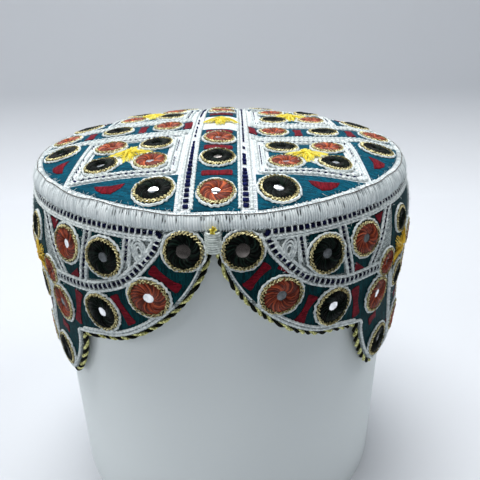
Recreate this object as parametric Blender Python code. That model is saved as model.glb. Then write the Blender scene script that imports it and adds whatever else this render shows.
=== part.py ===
"""Sindhi cap on a plain cylindrical display stand, in metres, +Z up.

The stand's base lies on Z = 0 and its axis is the Z axis. The front of the cap, with
the cut-out that bares the forehead, faces -Y. Angles round the cap start at the front
and grow towards +X. Heights on the cap are given as drops below the rim plane, the
plane in which the crown's cloth meets the rim roll.
"""
import math

import bmesh
import bpy
from mathutils import Vector

# Rim plane and the clearance that sewn pieces keep.
RIM_HEIGHT = 0.1713
GAP = 0.0003

# Stand: a plain round block that carries the crown on its flat top. Its top edge is eased
# where the cap closes in over it.
STAND_RADIUS = 0.0858
STAND_TOP_DROP = 0.0038
STAND_EASE_HEIGHT = 0.0120
STAND_EASE_DEPTH = 0.0040
STAND_SIDES = 72

# Crown: a low dome with a stiff ridge from front to back and a slack field on each side.
CROWN_RADIUS = 0.0836
CROWN_WALL = 0.0024
CROWN_RISE = 0.0118
RIGHT_SAG = 0.0060
LEFT_SAG = 0.0021
SAG_REACH = 0.80
RIDGE_HALF_WIDTH = 0.0130
RIDGE_POWER = 3
CROWN_RING_SHARES = (0.0, 0.11, 0.22, 0.33, 0.45, 0.57, 0.69, 0.80, 0.91, 1.0)
QUARTER_ANGLES = (0, 5, 10, 16, 24, 34, 44, 54, 64, 73, 82)

# Over the forehead the crown's edge is drawn down by this much, and the roll is as much
# narrower. The dip is full up to the first angle from the front and gone at the second.
FRONT_DIP = 0.0015
DIP_FULL_ANGLE = math.radians(10)
DIP_END_ANGLE = math.radians(36)
DIP_POWER = 6

# Rim roll: a padded ring wrapped in white thread, a flat oval in section that slopes
# outwards and down from the crown to the band.
ROLL_RADIUS = 0.0859
ROLL_DROP = 0.0034
ROLL_HALF_WIDTH = 0.0032
ROLL_HALF_HEIGHT = 0.0014
ROLL_TILT = math.radians(64)
ROLL_STEPS = 72
ROLL_SIDES = 8

# Side band: a padded wall that narrows a little towards its hem, and closes in at its top
# in a rounded shoulder. The shoulder's cloth lies a little lower for each part it goes in.
BAND_RADIUS = 0.0917
BAND_TAPER = 0.0233
BAND_WALL = 0.0030
BAND_TOP_DROP = 0.0048
BAND_ROW_SHARES = (0.0, 0.1, 0.3, 1.0)
SHOULDER_DEPTH = 0.0064
SHOULDER_REACH = 0.0320
SHOULDER_DIP = 0.458

# Outer line of the hem, the piping included. It rises to a notch at the front, falls in
# a rounded lobe on each side of it, and steps down at a cusp to the deeper side panels.
FRONT_ANGLE = math.radians(-0.65)
NOTCH_HALF_WIDTH = 0.0007
NOTCH_DROP = 0.0128
NOTCH_CLOTH_DROP = 0.0106
NOTCH_CLOTH_HALF_WIDTH = 0.0024
LOBE_ANGLE = math.radians(30)
LOBE_DROP = 0.0574
LOBE_POWER = 1.6
CUSP_ANGLE = math.radians(39.1)
CUSP_DROP = 0.0609
PANEL_ANGLE = math.radians(50)
PANEL_DROP = 0.0900
PANEL_POWER = 1.4
HEM_SKEW = 0.0022
LOBE_STEPS = 13
CUSP_STEPS = 3
PANEL_STEPS = 7
BACK_STEPS = 24

# Piping round the hem.
PIPING_RADIUS = 0.0011
PIPING_INSET = 0.0012

# Bar of wrapped thread that ties the two lobes together over the notch.
BAR_WIDTH = 0.0046
BAR_TOP_DROP = 0.0052
BAR_BOTTOM_DROP = 0.0124
BAR_THICKNESS = 0.0020
BAR_STEPS = 6

# Mirror medallions: a mirror under a wheel of thread, with a raised rim of cord.
MEDALLION_SIDES = 12
MEDALLION_EDGE_HEIGHT = 0.0009
MEDALLION_CREST_HEIGHT = 0.0014
MIRROR_HEIGHT = 0.0008
CREST_SHARE = 0.62
MIRROR_RADIUS = 0.0019
CROWN_LIFT = 0.0007
BAND_LIFT = 0.0005

# Medallions along the two arms of the crown's cross: distance from the centre.
ARM_MEDALLION_RADIUS = 0.0074
COLUMN_MEDALLIONS = {"inner": 0.0285, "middle": 0.0490, "outer": 0.0738}
CROSSBAR_MEDALLIONS = {"inner": 0.0255, "middle": 0.0500, "outer": 0.0752}

# Medallions in the eight corners between the crown's squares and its rim.
RIM_MEDALLION_RADIUS = 0.0083
RIM_MEDALLION_REACH = 0.0746
RIM_MEDALLION_ANGLE = 18

# Flower of four medallions round a gold star, in each square of the crown and on each side.
SQUARE_CENTRE = 0.0375
CROWN_PETAL_OFFSET = 0.0143
CROWN_PETAL_RADIUS = 0.0074
SIDE_PETAL_OFFSET = 0.0146
SIDE_PETAL_RADIUS = 0.0066
SIDE_FLOWER_TURN = 0.10
STAR_RADIUS = 0.0072
FLOWER_HEIGHT = 0.0011
PETAL_STEPS = 8

# Medallions on each half of the band: name, degrees from the front, drop, radius.
BAND_MEDALLIONS = (
    ("front", 6.65, 0.0124, 0.0079),
    ("upper_dark", 27.0, 0.0189, 0.0087),
    ("upper_orange", 39.6, 0.0180, 0.0085),
    ("lobe_orange", 15.4, 0.0326, 0.0088),
    ("lobe_dark", 29.6, 0.0436, 0.0090),
    ("panel_orange", 46.8, 0.0490, 0.0090),
    ("panel_dark", 51.5, 0.0770, 0.0085),
    ("back", 173.35, 0.0124, 0.0079),
)
SIDE_FLOWER_ANGLE = 59.2
SIDE_FLOWER_DROP = 0.0340

SMOOTH_ANGLE = math.radians(35)


def material(name, colour, roughness, metallic=0.0):
    made = bpy.data.materials.new(name)
    made.use_nodes = True
    shader = made.node_tree.nodes["Principled BSDF"]
    shader.inputs["Base Color"].default_value = (*colour, 1.0)
    shader.inputs["Roughness"].default_value = roughness
    shader.inputs["Metallic"].default_value = metallic
    made.diffuse_color = (*colour, 1.0)
    return made


def finish_mesh(name, shape, look):
    """Make an object of the bmesh, with its faces turned outwards."""
    bmesh.ops.recalc_face_normals(shape, faces=shape.faces)
    mesh = bpy.data.meshes.new(name)
    shape.to_mesh(mesh)
    shape.free()
    mesh.shade_smooth()
    mesh.set_sharp_from_angle(angle=SMOOTH_ANGLE)
    made = bpy.data.objects.new(name, mesh)
    made.data.materials.append(look)
    bpy.context.scene.collection.objects.link(made)
    return made


def bridge(shape, first, second, closed=True):
    """Join two rows of as many vertices with quads."""
    count = len(first)
    for index in range(count if closed else count - 1):
        after = (index + 1) % count
        shape.faces.new((first[index], first[after], second[after], second[index]))


def fan(shape, centre, ring):
    for index, corner in enumerate(ring):
        shape.faces.new((centre, corner, ring[(index + 1) % len(ring)]))


def around(radius, angle, height):
    """A point at an angle from the front of the cap."""
    return Vector((radius * math.sin(angle), -radius * math.cos(angle), height))


def drawn_down(x, y):
    """Share of the front dip towards a place on the cap, from 1 at the front to 0."""
    angle = abs(math.atan2(x, -y))
    share = (DIP_END_ANGLE - angle) / (DIP_END_ANGLE - DIP_FULL_ANGLE)
    share = min(1.0, max(0.0, share))
    return share ** 2 * (3 - 2 * share)


def crown_height(x, y):
    """Height of the crown's outer face above the rim plane."""
    share = math.hypot(x, y) / CROWN_RADIUS
    sag = RIGHT_SAG if x > 0 else LEFT_SAG
    beside_ridge = 1 - math.exp(-abs(x / RIDGE_HALF_WIDTH) ** RIDGE_POWER)
    inside = max(0.0, 1 - (share / SAG_REACH) ** 2)
    dip = FRONT_DIP * drawn_down(x, y) * share ** DIP_POWER
    return CROWN_RISE * (1 - share ** 2) - sag * beside_ridge * inside - dip


def on_crown(x, y, lift):
    return Vector((x, y, RIM_HEIGHT + crown_height(x, y) + lift))


def on_band(along, drop, lift):
    """A point on the band, from its distance along the wall and its drop."""
    angle = FRONT_ANGLE + along / BAND_RADIUS
    shoulder = SHOULDER_DEPTH * max(0.0, 1 - drop / SHOULDER_REACH) ** 2
    radius = BAND_RADIUS - BAND_TAPER * drop - shoulder
    skew = HEM_SKEW * math.sin(angle) * min(1.0, drop / LOBE_DROP)
    return around(radius + lift, angle, RIM_HEIGHT - drop - SHOULDER_DIP * shoulder + skew)


def superellipse(power, steps):
    """Quarter of a superellipse as pairs that run from (0, 0) to (1, 1), steep first."""
    pairs = []
    for step in range(steps + 1):
        turn = math.pi / 2 * step / steps
        across = 1 - max(0.0, math.cos(turn)) ** (2 / power)
        down = math.sin(turn) ** (2 / power)
        pairs.append((across, down))
    return pairs


def hem_line():
    """Outer line of the hem on one half, from the notch to the back, as (along, drop)."""
    lobe_end = LOBE_ANGLE * BAND_RADIUS
    cusp = CUSP_ANGLE * BAND_RADIUS
    panel = PANEL_ANGLE * BAND_RADIUS
    back = math.pi * BAND_RADIUS
    line = []
    for across, down in superellipse(LOBE_POWER, LOBE_STEPS):
        along = NOTCH_HALF_WIDTH + across * (lobe_end - NOTCH_HALF_WIDTH)
        line.append((along, NOTCH_DROP + down * (LOBE_DROP - NOTCH_DROP)))
    for step in range(1, CUSP_STEPS):
        share = step / CUSP_STEPS
        along = lobe_end + share * (cusp - lobe_end)
        line.append((along, LOBE_DROP + share * (CUSP_DROP - LOBE_DROP)))
    for across, down in superellipse(PANEL_POWER, PANEL_STEPS):
        along = cusp + across * (panel - cusp)
        line.append((along, CUSP_DROP + down * (PANEL_DROP - CUSP_DROP)))
    for step in range(1, BACK_STEPS + 1):
        line.append((panel + (back - panel) * step / BACK_STEPS, PANEL_DROP))
    return line


def inset(line, distance):
    """Move a hem line into the cloth by a distance, with mitred corners."""
    moved = []
    for index, (along, drop) in enumerate(line):
        normals = []
        for start, end in ((index - 1, index), (index, index + 1)):
            if start < 0 or end >= len(line):
                continue
            step = Vector((line[end][0] - line[start][0], line[end][1] - line[start][1]))
            normals.append(Vector((step.y, -step.x)).normalized())
        mean = sum(normals, Vector((0.0, 0.0))) / len(normals)
        shift = mean * distance / mean.length_squared
        moved.append((along + shift.x, drop + shift.y))
    return moved


def both_halves(line):
    """A half line that starts at the front and ends at the back, as a closed round."""
    mirrored = [(-along, drop) for along, drop in reversed(line[:-1])]
    return mirrored + line


def stand(look):
    shape = bmesh.new()
    top = RIM_HEIGHT - STAND_TOP_DROP
    section = (
        (STAND_RADIUS, 0.0),
        (STAND_RADIUS, top - STAND_EASE_HEIGHT),
        (STAND_RADIUS - STAND_EASE_DEPTH, top),
    )
    rings = []
    for radius, height in section:
        angles = [2 * math.pi * step / STAND_SIDES for step in range(STAND_SIDES)]
        rings.append([shape.verts.new(around(radius, angle, height)) for angle in angles])
    for lower, upper in zip(rings, rings[1:]):
        bridge(shape, lower, upper)
    shape.faces.new(rings[0])
    shape.faces.new(rings[-1])
    return finish_mesh("stand", shape, look)


def crown(look):
    """The domed cloth of the top, with its closest spokes along the ridge."""
    quarter = [math.radians(angle) for angle in QUARTER_ANGLES]
    half = quarter + [math.pi / 2] + [math.pi - angle for angle in reversed(quarter)]
    spokes = half + [math.pi + angle for angle in half[1:-1]]
    shape = bmesh.new()
    for lift in (0.0, -CROWN_WALL):
        centre = shape.verts.new(on_crown(0.0, 0.0, lift))
        rings = []
        for share in CROWN_RING_SHARES[1:]:
            flat = [around(share * CROWN_RADIUS, angle, 0.0) for angle in spokes]
            rings.append([shape.verts.new(on_crown(spot.x, spot.y, lift)) for spot in flat])
        fan(shape, centre, rings[0])
        for inner, outer in zip(rings, rings[1:]):
            bridge(shape, inner, outer)
        if lift == 0.0:
            upper_edge = rings[-1]
    bridge(shape, upper_edge, rings[-1])
    return finish_mesh("crown", shape, look)


def on_roll(angle, turn):
    """A point of the roll, at an angle round the cap and a turn round its section."""
    narrower = FRONT_DIP / 2 * drawn_down(math.sin(angle), -math.cos(angle))
    out = (ROLL_HALF_WIDTH - narrower) * math.cos(turn)
    up = ROLL_HALF_HEIGHT * math.sin(turn)
    radius = ROLL_RADIUS + out * math.cos(ROLL_TILT) + up * math.sin(ROLL_TILT)
    drop = ROLL_DROP + narrower + out * math.sin(ROLL_TILT) - up * math.cos(ROLL_TILT)
    return around(radius, angle, RIM_HEIGHT - drop)


def rim_roll(look):
    shape = bmesh.new()
    rings = []
    for side in range(ROLL_SIDES):
        turn = 2 * math.pi * side / ROLL_SIDES
        angles = [2 * math.pi * step / ROLL_STEPS for step in range(ROLL_STEPS)]
        rings.append([shape.verts.new(on_roll(angle, turn)) for angle in angles])
    for first, second in zip(rings, rings[1:] + rings[:1]):
        bridge(shape, first, second)
    return finish_mesh("rim_roll", shape, look)


def side_band(name, sign, look):
    """Half of the cap's wall, from under the rim roll down to the hem. The halves are sewn
    together over the notch and at the back."""
    hem = inset(hem_line(), 2 * PIPING_RADIUS + GAP)
    hem[-1] = (hem[-1][0] - GAP / 2, hem[-1][1])
    notch = [(GAP / 2, NOTCH_CLOTH_DROP), (NOTCH_CLOTH_HALF_WIDTH, NOTCH_CLOTH_DROP)]
    edge = notch + hem
    shape = bmesh.new()
    faces = []
    for lift in (0.0, -BAND_WALL):
        rows = []
        for share in BAND_ROW_SHARES:
            rows.append([])
            for along, drop in edge:
                level = BAND_TOP_DROP + share * (drop - BAND_TOP_DROP)
                rows[-1].append(shape.verts.new(on_band(sign * along, level, lift)))
        for upper, lower in zip(rows, rows[1:]):
            bridge(shape, upper, lower, closed=False)
        faces.append(rows)
    outer, inner = faces
    for end in (0, -1):
        bridge(shape, outer[end], inner[end], closed=False)
        upright = [[row[end] for row in rows] for rows in faces]
        bridge(shape, *upright, closed=False)
    return finish_mesh(name, shape, look)


def hem_piping(look):
    """One round cord along the whole hem, with its two ends side by side at the notch."""
    line = inset(hem_line(), PIPING_RADIUS)
    route = both_halves(line)
    curve = bpy.data.curves.new("hem_piping", "CURVE")
    curve.dimensions = "3D"
    curve.bevel_depth = PIPING_RADIUS
    curve.bevel_resolution = 2
    curve.use_fill_caps = True
    spline = curve.splines.new("POLY")
    # The route starts and ends at the back, so it is turned to start at the notch.
    front = len(line) - 1
    turned = route[front:] + route[1:front]
    spline.points.add(len(turned) - 1)
    for point, (along, drop) in zip(spline.points, turned):
        point.co = (*on_band(along, drop, -PIPING_INSET), 1.0)
    made = bpy.data.objects.new("hem_piping", curve)
    curve.materials.append(look)
    bpy.context.scene.collection.objects.link(made)
    return made


def front_bar(look):
    """The wrapped bar, flat at the back and rounded at the front."""
    shape = bmesh.new()
    rows = []
    for drop in (BAR_TOP_DROP, BAR_BOTTOM_DROP):
        for lift in (GAP, GAP + BAR_THICKNESS):
            half = BAR_WIDTH / 2 if lift == GAP else BAR_WIDTH / 2 - BAR_THICKNESS / 3
            spots = []
            for step in range(BAR_STEPS + 1):
                share = 2 * step / BAR_STEPS - 1
                round_off = (BAR_THICKNESS / 4) * share ** 2 if lift > GAP else 0.0
                spots.append(shape.verts.new(on_band(half * share, drop, lift - round_off)))
            rows.append(spots)
    back_top, front_top, back_bottom, front_bottom = rows
    bridge(shape, back_top, front_top, closed=False)
    bridge(shape, front_top, front_bottom, closed=False)
    bridge(shape, front_bottom, back_bottom, closed=False)
    bridge(shape, back_bottom, back_top, closed=False)
    for end in (0, -1):
        shape.faces.new((back_top[end], front_top[end], front_bottom[end], back_bottom[end]))
    return finish_mesh("front_bar", shape, look)


def medallion(name, place, centre, radius, lift, look):
    """A round wheel of thread that follows the cloth, with its mirror sunk in the middle."""
    shape = bmesh.new()

    def ring(reach, height):
        spots = []
        for side in range(MEDALLION_SIDES):
            turn = 2 * math.pi * side / MEDALLION_SIDES
            across = centre[0] + reach * math.cos(turn)
            down = centre[1] + reach * math.sin(turn)
            spots.append(shape.verts.new(place(across, down, lift + height)))
        return spots

    bottom = ring(radius, 0.0)
    edge = ring(radius, MEDALLION_EDGE_HEIGHT)
    crest = ring(radius * CREST_SHARE, MEDALLION_CREST_HEIGHT)
    mirror = ring(MIRROR_RADIUS, MIRROR_HEIGHT)
    fan(shape, shape.verts.new(place(*centre, lift)), bottom)
    for inner, outer in zip((bottom, edge, crest), (edge, crest, mirror)):
        bridge(shape, inner, outer)
    shape.faces.new(mirror)
    return finish_mesh(name, shape, look)


def flower_outline(offset, radius, turned):
    """Outline of four round petals that meet in a star, seen from its centre."""
    reach = math.asin(radius / offset)
    outline = []
    for petal in range(4):
        axis = turned + math.pi / 2 * petal
        for step in range(PETAL_STEPS + 1):
            turn = reach * 0.98 * (2 * step / PETAL_STEPS - 1)
            half_chord = math.sqrt(radius ** 2 - (offset * math.sin(turn)) ** 2)
            length = offset * math.cos(turn) + half_chord
            outline.append((length * math.cos(axis + turn), length * math.sin(axis + turn)))
        between = axis + math.pi / 4
        outline.append((STAR_RADIUS * math.cos(between), STAR_RADIUS * math.sin(between)))
    return outline


def flower(name, place, centre, outline, lift, look):
    """Four medallions fused round their star: a low body that follows the cloth."""
    shape = bmesh.new()
    rings = []
    for share, height in ((0.5, 0.0), (1.0, 0.0), (1.0, FLOWER_HEIGHT), (0.5, FLOWER_HEIGHT)):
        spots = [(centre[0] + share * x, centre[1] + share * y) for x, y in outline]
        rings.append([shape.verts.new(place(*spot, lift + height)) for spot in spots])
    for inner, outer in zip(rings, rings[1:]):
        bridge(shape, inner, outer)
    fan(shape, shape.verts.new(place(*centre, lift)), rings[0])
    fan(shape, shape.verts.new(place(*centre, lift + FLOWER_HEIGHT)), rings[-1])
    return finish_mesh(name, shape, look)


def crown_medallions(dark, orange, mixed):
    for name, reach in COLUMN_MEDALLIONS.items():
        look = dark if name == "middle" else orange
        for end, sign in (("front", -1), ("back", 1)):
            centre = (0.0, sign * reach)
            label = f"column_medallion_{end}_{name}"
            medallion(label, on_crown, centre, ARM_MEDALLION_RADIUS, CROWN_LIFT, look)
    for name, reach in CROSSBAR_MEDALLIONS.items():
        look = dark if name == "middle" else orange
        for end, sign in (("left", -1), ("right", 1)):
            centre = (sign * reach, 0.0)
            label = f"crossbar_medallion_{end}_{name}"
            medallion(label, on_crown, centre, ARM_MEDALLION_RADIUS, CROWN_LIFT, look)
    for quarter in range(4):
        for index, offset in enumerate((RIM_MEDALLION_ANGLE, 90 - RIM_MEDALLION_ANGLE)):
            spot = around(RIM_MEDALLION_REACH, math.radians(90 * quarter + offset), 0.0)
            label = f"rim_medallion_{2 * quarter + index + 1}"
            medallion(label, on_crown, (spot.x, spot.y), RIM_MEDALLION_RADIUS, CROWN_LIFT, dark)
    outline = flower_outline(CROWN_PETAL_OFFSET, CROWN_PETAL_RADIUS, math.pi / 4)
    for end, toward in (("front", -1), ("back", 1)):
        for side, sign in (("left", -1), ("right", 1)):
            centre = (sign * SQUARE_CENTRE, toward * SQUARE_CENTRE)
            flower(f"crown_flower_{end}_{side}", on_crown, centre, outline, CROWN_LIFT, mixed)


def band_medallions(dark, orange, mixed):
    for side, sign in (("left", -1), ("right", 1)):
        for name, degrees, drop, radius in BAND_MEDALLIONS:
            centre = (sign * math.radians(degrees) * BAND_RADIUS, drop)
            look = orange if name.endswith("orange") else dark
            medallion(f"{name}_medallion_{side}", on_band, centre, radius, BAND_LIFT, look)
        centre = (sign * math.radians(SIDE_FLOWER_ANGLE) * BAND_RADIUS, SIDE_FLOWER_DROP)
        outline = flower_outline(SIDE_PETAL_OFFSET, SIDE_PETAL_RADIUS, sign * SIDE_FLOWER_TURN)
        flower(f"side_flower_{side}", on_band, centre, outline, BAND_LIFT, mixed)


def build():
    for old in list(bpy.data.objects):
        bpy.data.objects.remove(old)
    teal = material("teal_embroidered_cloth", (0.02, 0.17, 0.26), 0.75)
    white = material("white_cotton_thread", (0.78, 0.79, 0.78), 0.80)
    gold = material("gold_and_black_piping", (0.46, 0.47, 0.14), 0.45, 0.5)
    dark = material("dark_green_thread", (0.02, 0.04, 0.03), 0.55)
    orange = material("rust_orange_thread", (0.45, 0.10, 0.05), 0.60)
    mixed = material("gold_star_thread", (0.75, 0.55, 0.10), 0.50)
    card = material("matt_white_stand", (0.80, 0.82, 0.84), 0.60)
    stand(card)
    crown(teal)
    rim_roll(white)
    side_band("side_band_left", -1, teal)
    side_band("side_band_right", 1, teal)
    hem_piping(gold)
    front_bar(white)
    crown_medallions(dark, orange, mixed)
    band_medallions(dark, orange, mixed)


build()
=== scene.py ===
"""Looks of the embroidered mirror-work cap and its display stand, in metres, +Z up.

The sections follow the cap as it is made: the stand, the crown's cloth and what is worked
on it, the rim roll, the band's cloth and what is worked on that, and the piping and bar
that finish the hem, with stray fibres last. Embroidery is worked flat, as on a frame, and
then laid on the cap.
"""

import math
import random

import bpy
import numpy as np
from mathutils import Matrix, Vector, noise


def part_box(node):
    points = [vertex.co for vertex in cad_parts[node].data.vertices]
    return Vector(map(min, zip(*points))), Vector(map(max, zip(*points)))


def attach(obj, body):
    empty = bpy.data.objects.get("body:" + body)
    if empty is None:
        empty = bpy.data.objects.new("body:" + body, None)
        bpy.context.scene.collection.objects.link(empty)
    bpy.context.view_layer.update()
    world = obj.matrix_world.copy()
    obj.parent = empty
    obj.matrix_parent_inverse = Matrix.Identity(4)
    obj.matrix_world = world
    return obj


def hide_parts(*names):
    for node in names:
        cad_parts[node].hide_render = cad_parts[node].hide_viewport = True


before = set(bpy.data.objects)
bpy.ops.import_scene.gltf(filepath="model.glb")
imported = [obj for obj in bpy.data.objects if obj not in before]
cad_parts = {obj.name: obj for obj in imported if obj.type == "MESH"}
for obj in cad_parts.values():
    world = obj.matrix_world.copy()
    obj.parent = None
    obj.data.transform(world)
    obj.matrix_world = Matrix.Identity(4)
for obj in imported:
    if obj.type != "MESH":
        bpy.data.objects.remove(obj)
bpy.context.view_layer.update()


# Camera, at the photograph's height and tilt, looking down on the front of the cap.
CAMERA_PLACE = Vector((0.0078, -0.2454, 0.2361))
CAMERA_PITCH = math.radians(25.42)
CAMERA_YAW = 0.0035
CAMERA_ROLL = 0.0140
CAMERA_LENS = 37.76
CAMERA_SENSOR = 36.0
CAMERA_CLIP = 0.01

forward = Vector((
    math.sin(CAMERA_YAW) * math.cos(CAMERA_PITCH),
    math.cos(CAMERA_YAW) * math.cos(CAMERA_PITCH),
    -math.sin(CAMERA_PITCH),
))
level_right = Vector((math.cos(CAMERA_YAW), -math.sin(CAMERA_YAW), 0.0))
level_down = forward.cross(level_right)
camera_right = math.cos(CAMERA_ROLL) * level_right + math.sin(CAMERA_ROLL) * level_down
camera_down = math.cos(CAMERA_ROLL) * level_down - math.sin(CAMERA_ROLL) * level_right
bpy.ops.object.camera_add(location=CAMERA_PLACE)
camera = bpy.context.object
camera.name = "camera"
turned = Matrix((camera_right, -camera_down, -forward)).transposed().to_4x4()
camera.matrix_world = Matrix.Translation(CAMERA_PLACE) @ turned
camera.data.lens = CAMERA_LENS
camera.data.sensor_width = CAMERA_SENSOR
camera.data.clip_start = CAMERA_CLIP
bpy.context.scene.camera = camera
bpy.context.scene.view_settings.view_transform = "Standard"


# Floor, a pale sheet that curves up behind the stand, and soft studio light: a wide lamp
# high on the left, one behind the cap that the crown's mirrors catch, three weaker ones to
# the sides and the front, and an even pale surround.
FLOOR_HALF = 3.0
FLOOR_BACK = 0.50
FLOOR_RISE = 1.10
FLOOR_BEND = 0.12
FLOOR_BEND_STEPS = 12
FLOOR_COLOUR = (0.59, 0.615, 0.65)
FLOOR_ROUGHNESS = 0.85
FLOOR_GLOSS = 0.5
SURROUND_COLOUR = (0.88, 0.91, 0.96)
SURROUND_STRENGTH = 0.13
LAMPS = (
    # name, place, width, height, power
    ("overhead_lamp", (-0.30, 0.15, 2.00), 1.40, 1.40, 41.0),
    ("back_lamp", (0.00, 0.42, 0.68), 0.50, 0.18, 1.3),
    ("right_lamp", (1.10, 0.10, 1.60), 0.90, 0.90, 8.4),
    ("left_lamp", (-1.20, -0.50, 0.75), 0.80, 0.80, 3.9),
    ("front_lamp", (0.30, -1.30, 0.80), 0.70, 0.70, 0.1),
)
LAMP_AIM = Vector((0.0, 0.0, 0.13))


def only(piece):
    """Select one piece alone, because the tools work on all that is selected."""
    bpy.ops.object.select_all(action="DESELECT")
    piece.select_set(True)
    bpy.context.view_layer.objects.active = piece
    return piece


def open_with(piece, kind, wanted):
    """Open a piece for editing, with only the wanted ones of its edges or faces selected."""
    bpy.ops.object.mode_set(mode="EDIT")
    bpy.ops.mesh.select_mode(type=kind)
    bpy.ops.mesh.select_all(action="DESELECT")
    bpy.ops.object.mode_set(mode="OBJECT")
    for part in piece.data.edges if kind == "EDGE" else piece.data.polygons:
        part.select = wanted(part)
    bpy.ops.object.mode_set(mode="EDIT")


def modify(kind, **settings):
    """Change the active piece for good by a modifier of this kind."""
    modifier = bpy.context.object.modifiers.new(kind.lower(), kind)
    for setting, value in settings.items():
        setattr(modifier, setting, value)
    bpy.ops.object.modifier_apply(modifier=modifier.name)


def new_look(name, roughness, gloss=0.04):
    """A new material, with its nodes, its links and its shader."""
    look = bpy.data.materials.new(name)
    look.use_nodes = True
    shader = look.node_tree.nodes["Principled BSDF"]
    shader.inputs["Roughness"].default_value = roughness
    shader.inputs["Specular IOR Level"].default_value = gloss
    return look, look.node_tree.nodes, look.node_tree.links, shader


def at_back(edge):
    """Whether an edge of the floor is its back edge."""
    return all(floor.data.vertices[index].co.y == FLOOR_BACK for index in edge.vertices)


bpy.ops.object.select_all(action="DESELECT")
bpy.ops.mesh.primitive_plane_add(size=2 * FLOOR_HALF)
floor = only(bpy.context.object)
floor.name = "floor"
for corner in floor.data.vertices:
    corner.co.y = min(corner.co.y, FLOOR_BACK)
open_with(floor, "EDGE", at_back)
bpy.ops.mesh.extrude_region_move(TRANSFORM_OT_translate={"value": (0.0, 0.0, FLOOR_RISE)})
bpy.ops.object.mode_set(mode="OBJECT")
modify("BEVEL", width=FLOOR_BEND, segments=FLOOR_BEND_STEPS)
bpy.ops.object.shade_smooth()
floor_look, nodes, links, shader = new_look("pale_floor", FLOOR_ROUGHNESS, FLOOR_GLOSS)
shader.inputs["Base Color"].default_value = (*FLOOR_COLOUR, 1.0)
floor.data.materials.append(floor_look)

surround = bpy.data.worlds.new("surround")
surround.use_nodes = True
bpy.context.scene.world = surround
background = surround.node_tree.nodes["Background"]
background.inputs["Color"].default_value = (*SURROUND_COLOUR, 1.0)
background.inputs["Strength"].default_value = SURROUND_STRENGTH

for name, place, width, height, power in LAMPS:
    bpy.ops.object.light_add(type="AREA", location=place)
    lamp = bpy.context.object
    lamp.name = name
    lamp.data.shape = "ELLIPSE"
    lamp.data.size = width
    lamp.data.size_y = height
    lamp.data.energy = power
    lamp.rotation_euler = (LAMP_AIM - Vector(place)).to_track_quat("-Z", "Y").to_euler()


# Display stand: a plain white cylinder with a smooth matt skin. The cap's crown lies on its
# flat top, and its top edge is eased where the cap closes in over it.
STAND_SIDES = 256
STAND_EASE_HEIGHT = 0.0120
STAND_EASE_DEPTH = 0.0040
# The stand's white is tinted a little green all over: painted bounce light from the teal cap.
STAND_WHITES = ((0.78, 0.835, 0.845), (0.82, 0.875, 0.88))
# A cloud is the scale and detail of a noise, and a grain has the strength and depth too.
STAND_CLOUD = (6.0, 3.0)
STAND_GRAIN = (900.0, 2.0, 0.06, 0.0004)
MOTTLE_STOPS = (0.35, 0.65)
SMOOTH_ANGLE = math.radians(40)


def fasten(piece, name, look, slot, *nodes):
    """Name a finished piece, give it its look and fix it to the one body of the cap."""
    piece.name = name
    piece.data.name = name
    piece.data.materials.clear()
    piece.data.materials.append(look)
    only(piece)
    bpy.ops.object.shade_smooth_by_angle(angle=SMOOTH_ANGLE)
    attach(piece, "root")
    if nodes:
        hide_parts(*nodes)
    return piece


def cloudy(nodes, links, place, scale, detail):
    """Noise of a scale and a detail, fixed to the surface."""
    cloud = nodes.new("ShaderNodeTexNoise")
    cloud.inputs["Scale"].default_value = scale
    cloud.inputs["Detail"].default_value = detail
    links.new(place, cloud.inputs["Vector"])
    return cloud


def mottle(nodes, links, place, cloud, colours):
    """Colour that drifts between two shades over the surface."""
    ramp = nodes.new("ShaderNodeValToRGB")
    for stop, position, colour in zip(ramp.color_ramp.elements, MOTTLE_STOPS, colours):
        stop.position = position
        stop.color = (*colour, 1.0)
    links.new(cloudy(nodes, links, place, *cloud).outputs["Fac"], ramp.inputs["Fac"])
    return ramp.outputs["Color"]


def raise_grain(nodes, links, height, shader, strength, distance):
    """Let a height of the texture show as a relief of the surface."""
    bump = nodes.new("ShaderNodeBump")
    bump.inputs["Strength"].default_value = strength
    bump.inputs["Distance"].default_value = distance
    links.new(height, bump.inputs["Height"])
    links.new(bump.outputs["Normal"], shader.inputs["Normal"])


def mottled_look(name, colours, cloud, grain=None, *, roughness, metallic=0.0):
    """A finish in two shades that drift by a cloud, with the relief of a grain if given."""
    look, nodes, links, shader = new_look(name, roughness)
    shader.inputs["Metallic"].default_value = metallic
    place = nodes.new("ShaderNodeTexCoord").outputs["Object"]
    links.new(mottle(nodes, links, place, cloud, colours), shader.inputs["Base Color"])
    if grain:
        fine = cloudy(nodes, links, place, *grain[:2])
        raise_grain(nodes, links, fine.outputs["Fac"], shader, *grain[2:])
    return look


stand_low, stand_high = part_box("stand")
shoulder_height = stand_high.z - STAND_EASE_HEIGHT
bpy.ops.object.select_all(action="DESELECT")
bpy.ops.mesh.primitive_cylinder_add(
    vertices=STAND_SIDES,
    radius=stand_high.x,
    depth=shoulder_height - stand_low.z,
    location=(0.0, 0.0, (shoulder_height + stand_low.z) / 2),
)
stand = only(bpy.context.object)
bpy.ops.object.transform_apply(location=True, rotation=True, scale=True)
open_with(stand, "FACE", lambda face: face.normal.z > 0.5)
bpy.ops.mesh.extrude_region_move(TRANSFORM_OT_translate={"value": (0.0, 0.0, STAND_EASE_HEIGHT)})
top_share = 1 - STAND_EASE_DEPTH / stand_high.x
bpy.ops.transform.resize(value=(top_share, top_share, 1.0))
bpy.ops.mesh.select_mode(type="EDGE")
bpy.ops.object.mode_set(mode="OBJECT")
stand_look = mottled_look(
    "matt_white_stand", STAND_WHITES, STAND_CLOUD, STAND_GRAIN, roughness=0.62
)
fasten(stand, "display_stand", stand_look, "stand_card", "stand")


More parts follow.
